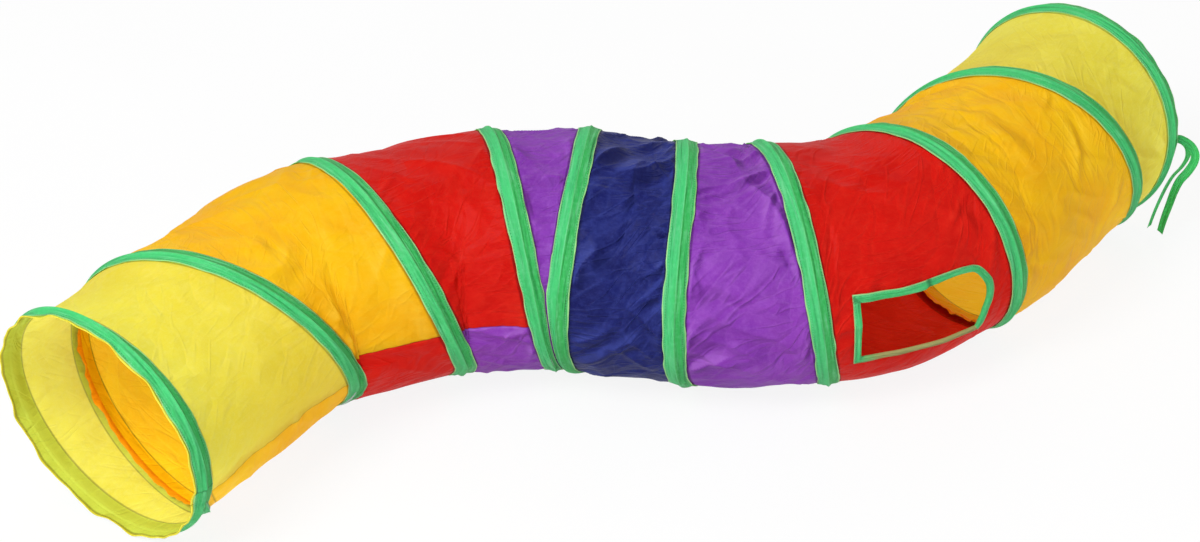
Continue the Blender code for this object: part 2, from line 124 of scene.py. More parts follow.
def lay_rings():
    """Places and headings of the rings, length of each bend, and the rings' distances."""
    bends = (TUNNEL_RADIUS + BEND_SPARE) * np.hypot(TURN_BEND, np.diff(RING_LEAN))
    headings = START_HEADING + np.concatenate([[0.0], np.cumsum(TURN_BEND)])
    places = [np.zeros(2)]
    for turn in range(TURNS):
        chord = bends[turn] * np.sinc(TURN_BEND[turn] / 2 / pi)
        middle, after = headings[turn] + TURN_BEND[turn] / 2, headings[turn + 1]
        step = chord * np.array([np.cos(middle), np.sin(middle)])
        step += TURN_STRAIGHT[turn] * np.array([np.cos(after), np.sin(after)])
        places.append(places[-1] + step)
    distances = np.concatenate([[0.0], np.cumsum(bends + TURN_STRAIGHT)])
    return np.array(places), headings, bends, distances


RING_PLACE, RING_HEADING, BEND_LENGTH, RING_DISTANCE = lay_rings()
TURN_LENGTH = BEND_LENGTH + TURN_STRAIGHT
TUNNEL_LENGTH = RING_DISTANCE[-1]


def joined(*values):
    """The values, widened to one shape, as the parts of a last axis."""
    return np.stack(np.broadcast_arrays(*values), -1)


def clamped(value):
    return np.clip(value, 0.0, 1.0)


def section_at(distance):
    """Centre, heading and lean of the cross-sections at these distances."""
    distance = np.asarray(distance, float)
    turn = np.clip(np.searchsorted(RING_DISTANCE, distance, side="right") - 1, 0, TURNS - 1)
    along = distance - RING_DISTANCE[turn]
    share = clamped(along / BEND_LENGTH[turn])
    bend = TURN_BEND[turn] * share
    chord = BEND_LENGTH[turn] * share * np.sinc(bend / 2 / pi)
    heading = RING_HEADING[turn] + bend
    middle = RING_HEADING[turn] + bend / 2
    rest = along - BEND_LENGTH[turn] * share
    lean = RING_LEAN[turn] + (RING_LEAN[turn + 1] - RING_LEAN[turn]) * share
    x = RING_PLACE[turn, 0] + chord * np.cos(middle) + rest * np.cos(heading)
    y = RING_PLACE[turn, 1] + chord * np.sin(middle) + rest * np.sin(heading)
    crest = (TUNNEL_RADIUS + CREST_OUTER) * np.cos(STEP / 2)
    centre = joined(x, y, crest * np.cos(lean) - FLOOR_FLAT) - SHIFT
    return centre, heading, lean


def point(distance, angle, height):
    """Point at a height over the cloth; angle 0 is the right side and 90 degrees the top."""
    centre, heading, lean = section_at(distance)
    angle = np.asarray(angle, float)
    radius = TUNNEL_RADIUS + np.asarray(height, float)
    side = joined(np.sin(heading), -np.cos(heading), 0.0)
    up = joined(np.cos(heading) * np.sin(lean), np.sin(heading) * np.sin(lean), np.cos(lean))
    return (centre + side * (radius * np.cos(angle))[..., None]
            + up * (radius * np.sin(angle))[..., None])


def moved_along(distance, angle, way, height=0.0):
    """Distances whose points lie a given way further along the surface at those angles."""
    distance, angle, way, height = np.broadcast_arrays(distance, angle, way, height)
    distance = distance.astype(float).copy()
    stride = np.where(way > 0, 0.002, -0.002)
    left = np.abs(way).astype(float).copy()
    here = point(distance, angle, height)
    moving = left > 0
    while moving.any():
        there = point(distance + stride, angle, height)
        length = np.maximum(np.linalg.norm(there - here, axis=-1), 1e-7)
        last = moving & (length >= left)
        distance = np.where(last, distance + stride * left / length,
                            np.where(moving, distance + stride, distance))
        left = np.where(moving, left - length, left)
        moving = moving & ~last
        here = np.where(moving[..., None], there, here)
    return distance


def wire_angle(step):
    return FIRST_ANGLE - STEP * np.asarray(step, float)


def wire_distance(step):
    """Distance along the tunnel of the wire at each step."""
    turns = TURNS * np.clip(step, 0, LAST_STEP) / LAST_STEP
    turn = np.minimum(turns.astype(int), TURNS - 1)
    share = turns - turn
    share = np.where(turn == TURNS - 1, share ** RIM_APPROACH, share)
    return RING_DISTANCE[turn] + share * TURN_LENGTH[turn]


def gap_at(step, height=0.0):
    """Straight way between the wire at a step and the wire one turn before it."""
    here, before = (point(wire_distance(at), wire_angle(step), height)
                    for at in (step, step - STEPS_PER_TURN))
    return np.linalg.norm(here - before, axis=-1)


def hashed(ix, iy, seed):
    """A fixed number from -1 to 1 for each cell."""
    h = (ix * 374761393 + iy * 668265263 + seed * 974634777) & 0xFFFFFFFF
    h = ((h ^ (h >> 13)) * 1274126177) & 0xFFFFFFFF
    return ((h ^ (h >> 16)) & 0xFFFF) / 32767.5 - 1.0


def noise(x, y, seed):
    """Smooth noise from -1 to 1 with a cell of one unit."""
    x, y = np.broadcast_arrays(np.asarray(x, float), np.asarray(y, float))
    ix, iy = np.floor(x).astype(np.int64), np.floor(y).astype(np.int64)
    fx, fy = x - ix, y - iy
    sx, sy = (f * f * f * (f * (f * 6 - 15) + 10) for f in (fx, fy))
    low = hashed(ix, iy, seed) * (1 - sx) + hashed(ix + 1, iy, seed) * sx
    high = hashed(ix, iy + 1, seed) * (1 - sx) + hashed(ix + 1, iy + 1, seed) * sx
    return low * (1 - sy) + high * sy


def unit(i, part, seed):
    """Fixed number from 0 to 1 for one value of one fold."""
    return float(hashed(np.int64(i), np.int64(part), seed) + 1) / 2


# How each panel is creased: strength, number of folds, the way they lean from straight round the
# tunnel towards the rear, and how much that varies, both in degrees
CREASING = [(0.40, 36, -55, 55), (0.75, 40, -30, 50), (0.75, 42, -40, 35),
            (1.00, 46, 10, 60), (1.35, 50, -42, 24), (1.20, 54, -46, 30),
            (0.62, 40, -45, 30), (0.80, 52, -10, 40), (0.46, 36, 60, 60)]
CROSSING = 0.22              # share of the folds that run another way
BOLD = 0.2                   # share of the folds that are long and high
PINNED = 0.6                 # share of the folds that run out from the binding
# Least and most of each size, first for a plain fold and then for a bold one
FOLD_LONG = ((0.022, 0.070), (0.060, 0.120))
FOLD_WIDE = ((0.0030, 0.0075), (0.0065, 0.0110))
FOLD_HIGH = ((0.0013, 0.0032), (0.0032, 0.0052))


def between(ends, share):
    return ends[0] + (ends[1] - ends[0]) * share


def fold_list(number):
    """Folds of one panel: start round and across, direction, length, half-width, height, bow, kind."""
    strength, count, lean, vary = CREASING[number]
    first, last = PANEL_STEPS[number], PANEL_STEPS[number + 1]
    folds = []
    for i in range(count):
        r = [unit(i, part, 300 + number) for part in range(9)]
        step = between((first, last), (i + r[0]) / count)
        half = float(margins(np.array([step]))[4][0]) / 2
        turn = radians(lean + vary * (2 * r[1] - 1) + (80 if r[2] < CROSSING else 0))
        ahead = np.array([np.cos(turn), np.sin(turn)])
        pinned = r[3] < PINNED
        side = (1 if r[4] < 0.5 else -1) if pinned else 0
        if side * ahead[1] > 0:
            ahead = -ahead
        start = np.array([step * AROUND, side * half if pinned else (2 * r[4] - 1) * half * 0.6])
        bold = r[5] * 7 % 1 < BOLD
        length = min(between(FOLD_LONG[bold], r[5]), max(2.4 * half, 0.012))
        if not pinned:
            start = start - ahead * length / 2
        high = between(FOLD_HIGH[bold], r[6]) * strength * min(1.0, half / 0.03)
        bow = 0.1 * length * (2 * r[8] - 1)
        folds.append((start, ahead, length, between(FOLD_WIDE[bold], r[7]), high, bow, pinned))
    return folds


def fold_height(fold, u, w):
    """A crisp crest that widens and dies away along its length, with a hollow along one side."""
    start, ahead, length, wide, high, bow, pinned = fold
    along = ((u - start[0]) * ahead[0] + (w - start[1]) * ahead[1]) / length
    t = clamped(along)
    off = (w - start[1]) * ahead[0] - (u - start[0]) * ahead[1] - 4 * bow * t * (1 - t)
    x = off / (wide * (0.55 + 0.75 * t if pinned else 1.0))
    rise = clamped(t / 0.14) * (1 - t) ** 0.8 if pinned else (4 * t * (1 - t)) ** 0.8
    return high * rise * (np.exp(-1.2 * np.abs(x)) - 0.55 * np.exp(-((x - 1.9) / 0.9) ** 2))


def margins(step):
    """Where the free cloth begins and ends at these steps, and its width."""
    angle, width = wire_angle(step), gap_at(step)
    low, high = wire_distance(step - STEPS_PER_TURN), wire_distance(step)
    way = np.minimum(HALF_TAPE, MARGIN_SHARE * width)
    thin = width < 0.003
    low_in = np.where(thin, low + (high - low) * MARGIN_SHARE, moved_along(low, angle, way))
    high_in = np.where(thin, high - (high - low) * MARGIN_SHARE, moved_along(high, angle, -way))
    return low, low_in, high_in, high, width - 2 * way


FOLDS = [fold_list(number) for number in range(len(CREASING))]


def strength_at(step, number):
    """How strongly the cloth is creased there, easing over to the next panel at the colour seams."""
    strength = CREASING[number][0] + 0 * step
    for other, edge in ((number - 1, PANEL_STEPS[number]), (number + 1, PANEL_STEPS[number + 1])):
        if 0 <= other < len(CREASING):
            nearby = clamped(1 - np.abs(step - edge) / 2.0)
            strength = strength + 0.5 * (CREASING[other][0] - CREASING[number][0]) * nearby
    return strength


FACET_HEIGHT = 0.0028
PUCKER_HEIGHT = 0.0007


def cloth_height(number, step, share, width):
    """Height of the cloth: drawn in between its wires, folded, creased and puckered at the tapes."""
    inside = clamped(share)
    belly = 4 * inside * (1 - inside)
    u, w = AROUND * step, (inside - 0.5) * width
    strength = strength_at(step, number)
    fold = 0.5 + 0.5 * np.sin(FOLDS_PER_TURN * wire_angle(step) + FOLD_SKEW * inside)
    drift = 0.5 + 0.5 * noise((u - w) / 0.050, (u + w) / 0.11, 3)
    depth = np.minimum(FOLD_DEPTH, SAG_SHARE * width)
    height = -(SAG_SHARE * width + depth * (0.35 * fold + 0.65 * drift)) * belly
    lower = clamped((-np.sin(wire_angle(step)) - 0.25) / 0.35)
    height = height + HANG_SHARE * width * belly * lower
    near = np.minimum(inside, 1 - inside) * width
    free = clamped(near / 0.004) * clamped(width / 0.04) * (1 - UNDER_CALM * lower)
    facet = 1 - np.abs(noise((u - 0.8 * w) / 0.034, (w + 0.3 * u) / 0.060, 11)) * 1.6
    height = height + FACET_HEIGHT * strength * free * np.minimum(belly * 2, 1) * (facet - 0.4)
    for other in range(max(number - 1, 0), min(number + 2, len(FOLDS))):
        height = height + sum(fold_height(crease, u, w) for crease in FOLDS[other]) * free
    gathers = noise(u / 0.0080, w / 0.05, 31) + 0.5 * noise(u / 0.0042, w / 0.03, 32)
    pucker = gathers * np.exp(-near / 0.010) * clamped(near / 0.0025)
    return height + PUCKER_HEIGHT * pucker * clamped(width / 0.03) * np.minimum(strength, 1.0)


# Waves of the rims' loose edges: how many go round, where each starts, and its share
RIM_WAVES = ((5, 0.8, 0.25), (9, 0.3, 0.25), (14, 2.0, 0.35), (19, 4.1, 0.35), (31, 1.2, 0.25))
RIM_RISE = (0.0023, 0.0010)          # how far the loose edge of the front and rear rim stands off
RIM_SHIFT = (0.0012, 0.0006)         # how far it wanders along the tunnel


def rim_wave(angle, beyond, end):
    """Rise and shift of a rim's loose edge at a way beyond its wire."""
    wave = sum(share * np.sin(count * angle + start) for count, start, share in RIM_WAVES)
    swing = np.clip(beyond / RIM_LIP, 0.0, 1.1) ** 2
    return RIM_RISE[end] * wave * swing, RIM_SHIFT[end] * np.sin(13 * angle + 1.0) * swing


def srgb(*tone):
    """Linear colour of a tone given from 0 to 255."""
    parts = [c / 255 for c in tone]
    return tuple(c / 12.92 if c <= 0.04045 else ((c + 0.055) / 1.055) ** 2.4 for c in parts) + (1.0,)


def add_object(name, data):
    added = bpy.data.objects.new(name, data)
    bpy.context.scene.collection.objects.link(added)
    return added


# Camera

def add_camera():
    data = bpy.data.cameras.new("photo_camera")
    camera = add_object("photo_camera", data)
    axes = [axis.normalized() for axis in (CAMERA_UP.cross(CAMERA_BACK), CAMERA_UP, CAMERA_BACK)]
    camera.matrix_world = Matrix.Translation(CAMERA_PLACE) @ Matrix(axes).transposed().to_4x4()
    data.sensor_fit = "HORIZONTAL"
    data.sensor_width = 36.0
    data.lens = CAMERA_LENS
    data.clip_start = 0.05
    data.clip_end = 50.0
    bpy.context.scene.camera = camera


add_camera()


# Materials

class Nodes:
    """Short way to write the node tree of a material or a world."""

    def __init__(self, owner, output="OutputMaterial"):
        owner.use_nodes = True
        self.tree = owner.node_tree
        self.tree.nodes.clear()
        self.output = self.add(output)

    def add(self, kind, inputs=None, **settings):
        node = self.tree.nodes.new("ShaderNode" + kind)
        for key, value in settings.items():
            setattr(node, key, value)
        for key, value in (inputs or {}).items():
            if isinstance(value, bpy.types.NodeSocket):
                self.tree.links.new(value, node.inputs[key])
            else:
                node.inputs[key].default_value = value
        return node

    def finish(self, shader):
        self.tree.links.new(shader, self.output.inputs[0])

    def mix_shader(self, factor, a, b):
        return self.add("MixShader", {0: factor, 1: a, 2: b}).outputs[0]

    def math(self, operation, a, b=0.0, c=0.0):
        return self.add("Math", {0: a, 1: b, 2: c}, operation=operation).outputs[0]

    def times(self, a, b):
        return self.math("MULTIPLY", a, b)

    def mix(self, factor, a, b):
        node = self.add("Mix", {0: factor, 6: a, 7: b}, data_type="RGBA", clamp_factor=True)
        return node.outputs[2]

    def layered(self, shade, *layers):
        """A shade with others over it, each a share and a tone."""
        for share, tone in layers:
            shade = self.mix(share, shade, tone)
        return shade

    def ramp(self, value, low, high, to_low=0.0, to_high=1.0):
        node = self.add("MapRange", {0: value, 1: low, 2: high, 3: to_low, 4: to_high}, clamp=True)
        node.interpolation_type = "SMOOTHSTEP"
        return node.outputs[0]

    def noise(self, where, scale, detail=2.0, roughness=0.5, distortion=0.0):
        return self.add("TexNoise", {"Vector": where, "Scale": scale, "Detail": detail,
                                     "Roughness": roughness, "Distortion": distortion}).outputs["Fac"]

    def wave(self, where, way, scale, distortion=0.0, detail=2.0):
        return self.add("TexWave", {"Vector": where, "Scale": scale, "Distortion": distortion,
                                    "Detail": detail}, bands_direction=way).outputs["Fac"]

    def scaled(self, where, scale, turn=0.0):
        return self.add("Mapping", {0: where, 2: (0.0, 0.0, turn), 3: scale}).outputs[0]

    def attribute(self, name):
        """A mesh's attribute as a vector, and its parts."""
        vector = self.add("Attribute", attribute_name=name).outputs["Vector"]
        return vector, self.add("SeparateXYZ", {0: vector}).outputs

    def bumps(self, *layers):
        """Normal of bumps on top of each other, each a height, a strength and a depth."""
        inputs = {}
        for height, strength, depth in layers:
            inputs.update({"Strength": strength, "Distance": depth, "Height": height})
            inputs["Normal"] = self.add("Bump", inputs).outputs[0]
        return inputs["Normal"]

    def seen_directly(self):
        """1 for rays from the camera, off gloss and through glass, and 0 for the rest."""
        ray = self.add("LightPath").outputs
        other = self.math("MAXIMUM", ray["Is Glossy Ray"], ray["Is Transmission Ray"])
        return self.math("MAXIMUM", ray["Is Camera Ray"], other)


def facets(n, where, scale, turn, stretch, bend):
    """Flat facets with sharp lines between them, drawn out along the way they lean."""
    warp = n.add("TexNoise", {"Vector": where, "Scale": scale * 0.7, "Detail": 1.0}).outputs["Color"]
    shift = n.add("VectorMath", {0: warp, 1: (bend, bend, 0.0), 2: where}, operation="MULTIPLY_ADD")
    turned = n.scaled(shift.outputs[0], (1.0, 1.0, 1.0), turn)
    cells = n.add("TexVoronoi", {"Vector": n.scaled(turned, (1.0 / stretch, 1.0, 1.0)), "Scale": scale},
                  feature="DISTANCE_TO_EDGE")
    return cells.outputs["Distance"]


def creases(n, where, turn, scale, stretch):
    """Thin sharp lines drawn out along one way, as cloth keeps after it has been folded."""
    turned = n.scaled(where, (1.0, 1.0, 1.0), turn)
    field = n.noise(n.scaled(turned, (scale / stretch, scale, 1.0)), 1.0, 1.0, 0.5, 0.3)
    return n.ramp(n.math("ABSOLUTE", n.math("SUBTRACT", field, 0.5)), 0.0, 0.075, 1.0, 0.0)


def darker(tone, share):
    return tuple(channel * share for channel in tone[:3]) + (1.0,)


def finish_thin(n, looks, through, glow):
    """Surface of the looks given, thin enough to let some light through."""
    shader = n.add("BsdfPrincipled", looks).outputs[0]
    passed = n.add("BsdfTranslucent", {"Color": glow, "Normal": looks["Normal"]}).outputs[0]
    n.finish(n.mix_shader(through, shader, passed))


def cloth_material(name, base, deep, light, lined, folded, through, lean, creased):
    """Thin polyester: plain weave, old creases, mottling, puckers, and light that comes through it.

    lined is its colour over the binding, folded that of its allowances, lean the way of its creases in
    degrees and creased how strong they are. The seams attribute holds the way to the binding, the way
    to a colour seam and the slope towards the light. The slope paints light and shade into the colour;
    there is also a painted shadow line along the binding's edges, and the allowances' darker colour is
    partly painted shade.
    """
    material = bpy.data.materials.new(name)
    n = Nodes(material)
    lay, _ = n.attribute("cloth")
    _, (to_binding, to_seam, slope) = n.attribute("seams")
    near = n.math("ABSOLUTE", to_binding)
    under = n.ramp(to_binding, -0.0012, -0.0002, 1.0, 0.0)
    double = n.ramp(to_binding, 0.0005 - FOLDED_MARK, 0.0030 - FOLDED_MARK, 1.0, 0.0)
    broad = n.noise(lay, 13.0, 3.0, 0.55)
    mottle = n.noise(lay, 150.0, 3.0, 0.65)
    fleck = n.noise(lay, 520.0, 2.0, 0.6)
    large = facets(n, lay, 30.0, radians(-lean), 2.4, 0.022)
    patchy = n.ramp(n.noise(lay, 17.0, 2.0, 0.5), 0.40, 0.60)
    along = n.times(creases(n, lay, radians(-lean), 62.0, 6.0), patchy)
    crossing = creases(n, lay, radians(38 - lean), 88.0, 4.5)
    other = n.times(crossing, n.math("SUBTRACT", 1.0, patchy))
    lines = n.math("MULTIPLY_ADD", other, 0.7, along)
    shade = n.layered(
        deep, (n.ramp(broad, 0.32, 0.68), base),
        (n.ramp(mottle, 0.40, 0.75, 0.0, 0.22), light), (n.ramp(fleck, 0.45, 0.75, 0.0, 0.14), light),
        (n.ramp(large, 0.0, 0.04, 0.10 * creased, 0.0), light), (n.times(lines, 0.20 * creased), light),
        # painted highlight and painted shade: lighter where the cloth slopes towards the light, darker where
        # it slopes away
        (n.ramp(slope, 0.03, 0.55, 0.0, 0.5), light),
        (n.ramp(slope, -0.55, -0.03, 0.62 * creased, 0.0), darker(deep, 0.5)),
        # over the binding its lined colour; the allowances' darker colour is partly the deeper tone of two
        # layers and partly painted shade
        (n.times(under, 0.9), lined), (double, folded),
        # painted shadow line along the binding's edges, then a dark stitched line at a colour seam
        (n.ramp(near, 0.0003, 0.0019, 0.62, 0.0), darker(lined, 0.16)),
        (n.ramp(to_seam, 0.0002, 0.0009, 0.45, 0.0), darker(lined, 0.16)))
    weave = n.times(n.wave(lay, "X", 500.0, 0.6, 1.0), n.wave(lay, "Y", 500.0, 0.6, 1.0))
    gathers = n.noise(n.scaled(lay, (125.0, 16.0, 1.0)), 1.0, 2.0, 0.5)
    gathers = n.times(gathers, n.ramp(near, 0.0, 0.022, 1.0, 0.0))
    normal = n.bumps((weave, 0.2, 0.0002), (large, creased, 0.0100), (lines, creased, 0.0011),
                     (gathers, 0.9, 0.0024), (mottle, 0.5, 0.0003))
    looks = {"Base Color": shade, "Roughness": n.ramp(mottle, 0.3, 0.7, 0.42, 0.54), "Normal": normal,
             "Specular IOR Level": 0.09}
    passed = n.math("MULTIPLY_ADD", under, -0.6 * through, through)
    finish_thin(n, looks, passed, n.mix(0.4, shade, light))
    return material


def tape_material(name, base, deep, light, rear, edge, through):
    """Woven binding tape: ribs, stitches and a pale thread at both edges, painted shade on the rear half of
    its fold, painted highlight along its crest and lengthwise streaks of painted highlight and shade.

    The seams attribute holds how much a place belongs to the dark line at an overlapping end, partly
    stitching and partly painted shadow, and how much it is beige, which is painted light.
    """
    material = bpy.data.materials.new(name)
    n = Nodes(material)
    lay, (_, side, _) = n.attribute("cloth")
    _, (lap_stitch_and_shadow, beige, _) = n.attribute("seams")
    off = n.math("ABSOLUTE", side)                       # 0 on the crest, 1 at an edge
    wander = n.noise(n.scaled(lay, (1.0, 0.01, 1.0)), 60.0, 2.0)
    shifted = n.math("MULTIPLY_ADD", n.math("SUBTRACT", wander, 0.5), 0.12, off)
    painted_shade_streak = n.noise(n.scaled(lay, (9.0, 1.5, 1.0)), 1.0, 2.0, 0.5)
    painted_highlight_streak = n.noise(n.scaled(lay, (22.0, 2.8, 1.0)), 1.0, 3.0, 0.55)
    mottle = n.noise(n.scaled(lay, (1.0, 0.012, 1.0)), 240.0, 3.0, 0.6)
    painted_shade_side = n.math("MULTIPLY_ADD", n.math("SUBTRACT", painted_shade_streak, 0.5), 0.3, side)
    crest = n.math("ABSOLUTE", n.math("MULTIPLY_ADD", painted_shade_streak, -0.12, side))
    ribs = n.wave(n.scaled(lay, (0.0, 1.0, 0.0)), "Y", 5.2, 0.4)
    dashes = n.wave(n.scaled(lay, (1.0, 0.0, 0.0)), "X", 105.0)
    line = n.times(n.ramp(shifted, 0.72, 0.76), n.ramp(shifted, 0.78, 0.82, 1.0, 0.0))
    stitch = n.times(line, n.ramp(dashes, 0.25, 0.5))
    shade = n.layered(
        # painted shade on the rear half, and lengthwise streaks of painted shade and painted highlight
        base, (n.ramp(painted_shade_side, -0.04, 0.12), rear), (n.ramp(painted_shade_streak, 0.48, 0.74, 0.0, 0.50), deep),
        (n.ramp(painted_highlight_streak, 0.50, 0.74, 0.0, 0.45), light), (n.ramp(mottle, 0.4, 0.75, 0.0, 0.25), light),
        # painted highlight along the crest, then the dark stitched line
        (n.ramp(crest, 0.0, 0.07, 0.45, 0.0), light), (n.times(line, 0.35), deep),
        (n.times(stitch, 0.55), light), (n.ramp(shifted, 0.885, 0.925, 0.0, 0.9), edge),
        # dark line at an overlapping end, partly stitching and partly painted shadow; beige, painted light on
        # the window's bottom leg
        (n.times(lap_stitch_and_shadow, 0.8), darker(deep, 0.3)), (beige, PAINTED_LIGHT_BEIGE))
    crumple = n.noise(n.scaled(lay, (60.0, 1.8, 1.0)), 1.0, 2.0, 0.5, 0.3)
    lengthwise = n.noise(n.scaled(lay, (14.0, 2.4, 1.0)), 1.0, 1.0, 0.5, 0.5)
    groove = n.times(line, -1.0)
    normal = n.bumps((ribs, 0.25, 0.0003), (stitch, 0.6, 0.0006), (groove, 0.8, 0.0010),
                     (crumple, 0.7, 0.0018), (lengthwise, 0.9, 0.0050))
    looks = {"Base Color": shade, "Roughness": n.ramp(mottle, 0.3, 0.7, 0.44, 0.58), "Normal": normal,
             "Sheen Weight": 0.02, "Sheen Roughness": 0.4, "Specular IOR Level": 0.18}
    finish_thin(n, looks, through, n.mix(0.6, shade, LIGHT_THROUGH_TAPE))
    return material


def steel_material():
    material = bpy.data.materials.new("spring_steel")
    n = Nodes(material)
    place = n.add("TexCoord").outputs["Object"]
    grain = n.noise(place, 900.0, 3.0, 0.6)
    shade = n.mix(n.ramp(grain, 0.3, 0.7), srgb(150, 152, 155), srgb(196, 198, 200))
    looks = {"Base Color": shade, "Roughness": n.ramp(grain, 0.3, 0.7, 0.26, 0.42), "Metallic": 1.0,
             "Normal": n.bumps((grain, 0.2, 0.0002))}
    n.finish(n.add("BsdfPrincipled", looks).outputs[0])
    return material


# Colours of each cloth: base, deep, light, over the binding and of its allowances; then the share of
# light that it lets through, how its creases lean and how strong they are. The light and deep tones also
# serve as painted highlight and painted shade on the slopes of the folds, and the allowances' colour is
# partly painted shade
CLOTH_LOOKS = {
    "yellow": ((240, 233, 76), (234, 223, 58), (244, 243, 146), (202, 218, 84), (214, 206, 60),
               0.42, -50, 0.40),
    "orange": ((253, 206, 14), (252, 190, 8), (255, 220, 74), (252, 190, 14), (252, 158, 20),
               0.38, -20, 0.55),
    "red": ((216, 20, 10), (204, 12, 5), (232, 54, 34), (168, 8, 3), (140, 6, 3),
               0.28, -40, 0.60),
    "purple": ((138, 60, 182), (124, 50, 168), (174, 110, 212), (110, 44, 150), (100, 40, 140),
               0.24, -46, 0.90),
    "navy": ((24, 31, 100), (13, 18, 80), (62, 74, 156), (20, 24, 84), (14, 18, 70),
               0.10, -42, 0.95),
}
# painted light: the window binding's bottom leg, seen edge-on and lit, with the red cloth's light coming
# through it
PAINTED_LIGHT_BEIGE = srgb(196, 178, 122)
LIGHT_THROUGH_TAPE = srgb(196, 240, 150)
CLOTH = {colour: cloth_material("cloth_" + colour, *(srgb(*tone) for tone in looks[:5]), *looks[5:])
         for colour, looks in CLOTH_LOOKS.items()}
# Tones of the tape and the ribbon: base, deep, light, rear and edge; rear is painted shade on the rear half,
# and deep and light also paint shade and highlight
TAPE = tape_material("binding_tape", srgb(80, 219, 138), srgb(44, 180, 94), srgb(158, 242, 192),
                     srgb(60, 196, 102), srgb(190, 238, 170), 0.42)
RIBBON = tape_material("satin_ribbon", srgb(74, 224, 130), srgb(46, 190, 102), srgb(130, 240, 170),
                       srgb(66, 214, 118), srgb(100, 230, 146), 0.34)
STEEL = steel_material()


# Cutting a strip where the collapsing stretches begin and end

def cut_planes():
    """(distance, point, normal) of each cut, each inside a stretch that doesn't collapse."""
    cuts = []
    for ring in (1, 2, 4, 5, 6, 7):
        distance = RING_DISTANCE[ring] + (0 if ring == 4 else BEND_LENGTH[ring] / 2)
        centre, heading, lean = section_at(distance)
        cuts.append((distance, Vector(centre), section_normal(heading, lean)))
    return cuts


def section_normal(heading, lean):
    return Vector((np.cos(heading) * np.cos(lean), np.sin(heading) * np.cos(lean), -np.sin(lean)))


CUTS = cut_planes()
# Each part between two cuts collapses in one turn, between two bodies
BODIES = ["front_end", "turn_1", "turn_2", "middle", "turn_5", "turn_6", "turn_7", "rear_end"]
LEAST_AREA = 0.0001          # a smaller part stays with its neighbour
CUT_REACH = 0.005            # a strip is tried against the cuts this far past its ends
ABOVE_FLOOR = np.array([-np.inf, -np.inf, 0.0])


class Strip:
    """A mesh in the making: points with their lay on the cloth, and faces."""

    def __init__(self):
        self.places, self.lay, self.seams, self.faces = [], [], [], []
        self.distances = []

    def grid(self, places, lay, seams, distance, around=False, across=False, keep=None):
        """Add a grid of rows and columns; either way may close on itself."""
        rows, columns = places.shape[:2]
        places = np.maximum(places, ABOVE_FLOOR)
        start = sum(len(part) for part in self.places)
        self.places.append(places.reshape(-1, 3))
        self.lay.append(lay.reshape(-1, 3))
        self.seams.append(seams.reshape(-1, 3))
        self.distances.append(np.asarray(distance).reshape(-1))
        index = start + np.arange(rows * columns).reshape(rows, columns)
        near = index if around else index[:-1]
        far = np.roll(index, -1, 0) if around else index[1:]
        if across:
            corners = [near, far, np.roll(far, -1, 1), np.roll(near, -1, 1)]
        else:
            corners = [near[:, :-1], far[:, :-1], far[:, 1:], near[:, 1:]]
        faces = np.stack(corners, -1).reshape(-1, 4)
        if keep is not None:
            faces = faces[keep.reshape(-1)]
        self.faces.append(faces)
        return index

    def close(self, loop):
        """Cap a closed cross-section, given as point indices, with a strip of quads."""
        count = len(loop)
        self.faces.append(np.array([[loop[i], loop[i + 1], loop[count - 2 - i], loop[count - 1 - i]]
                                    for i in range(count // 2 - 1)]))

    def mesh(self, name):
        """The whole strip as one mesh."""
        mesh = bpy.data.meshes.new(name)
        faces = [list(dict.fromkeys(face)) for face in np.concatenate(self.faces).tolist()]
        mesh.from_pydata(np.concatenate(self.places).tolist(), [], [face for face in faces if len(face) > 2])
        for key, values in (("cloth", self.lay), ("seams", self.seams)):
            layer = mesh.attributes.new(key, "FLOAT_VECTOR", "POINT")
            layer.data.foreach_set("vector", np.concatenate(values).astype(np.float32).ravel())
        mesh.shade_smooth()
        return mesh

    def to_cut(self):
        """The strip ready to be cut, with its normals kept in a layer and without loose points."""
        whole = self.mesh("whole")
        build = bmesh.new()
        build.from_mesh(whole)
        bpy.data.meshes.remove(whole)
        normals = build.verts.layers.float_vector.new("smooth")
        build.normal_update()
        for vertex in build.verts:
            vertex[normals] = vertex.normal
        loose = [vertex for vertex in build.verts if not vertex.link_faces]
        bmesh.ops.delete(build, geom=loose, context="VERTS")
        return build

    def parts(self, build):
        """Cut the strip between its collapsing stretches, and find the faces that go with each."""
        distances = np.concatenate(self.distances)
        first = sum(distance < distances.min() - CUT_REACH for distance, _, _ in CUTS)
        last = sum(distance < distances.max() + CUT_REACH for distance, _, _ in CUTS)
        local = CUTS[first:last]
        for _, centre, normal in local:
            bmesh.ops.bisect_plane(build, geom=build.verts[:] + build.edges[:] + build.faces[:], dist=1e-6,
                                   plane_co=centre, plane_no=normal)
        found, areas = {}, {}
        for face in build.faces:
            middle = face.calc_center_median()
            passed = first + sum((middle - centre).dot(normal) > 0 for _, centre, normal in local)
            found.setdefault(passed, []).append(face.index)
            areas[passed] = areas.get(passed, 0.0) + face.calc_area()
        for part in sorted(found):
            near = [other for other in (part - 1, part + 1) if other in found]
            if areas[part] < LEAST_AREA and near:
                found[max(near, key=lambda other: areas[other])] += found.pop(part)
        return found

    def objects(self, node, material, slot="green"):
        """Make one object for each stretch of the tunnel that the strip crosses, in place of one node."""
        build = self.to_cut()
        made = []
        for part, faces in sorted(self.parts(build).items()):
            mesh = part_mesh(build, set(faces), "%s_part_%d" % (node, part + 1))
            piece = add_piece(mesh.name, mesh, material, node)
            bend_over(piece)
            made.append(piece)
        build.free()
        return made

    def whole(self, name, material, body):
        """Make one object of the whole strip, riding on one body."""
        piece = add_piece(name + "_cover", self.mesh(name), material, name)
        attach(piece, body)
        return piece


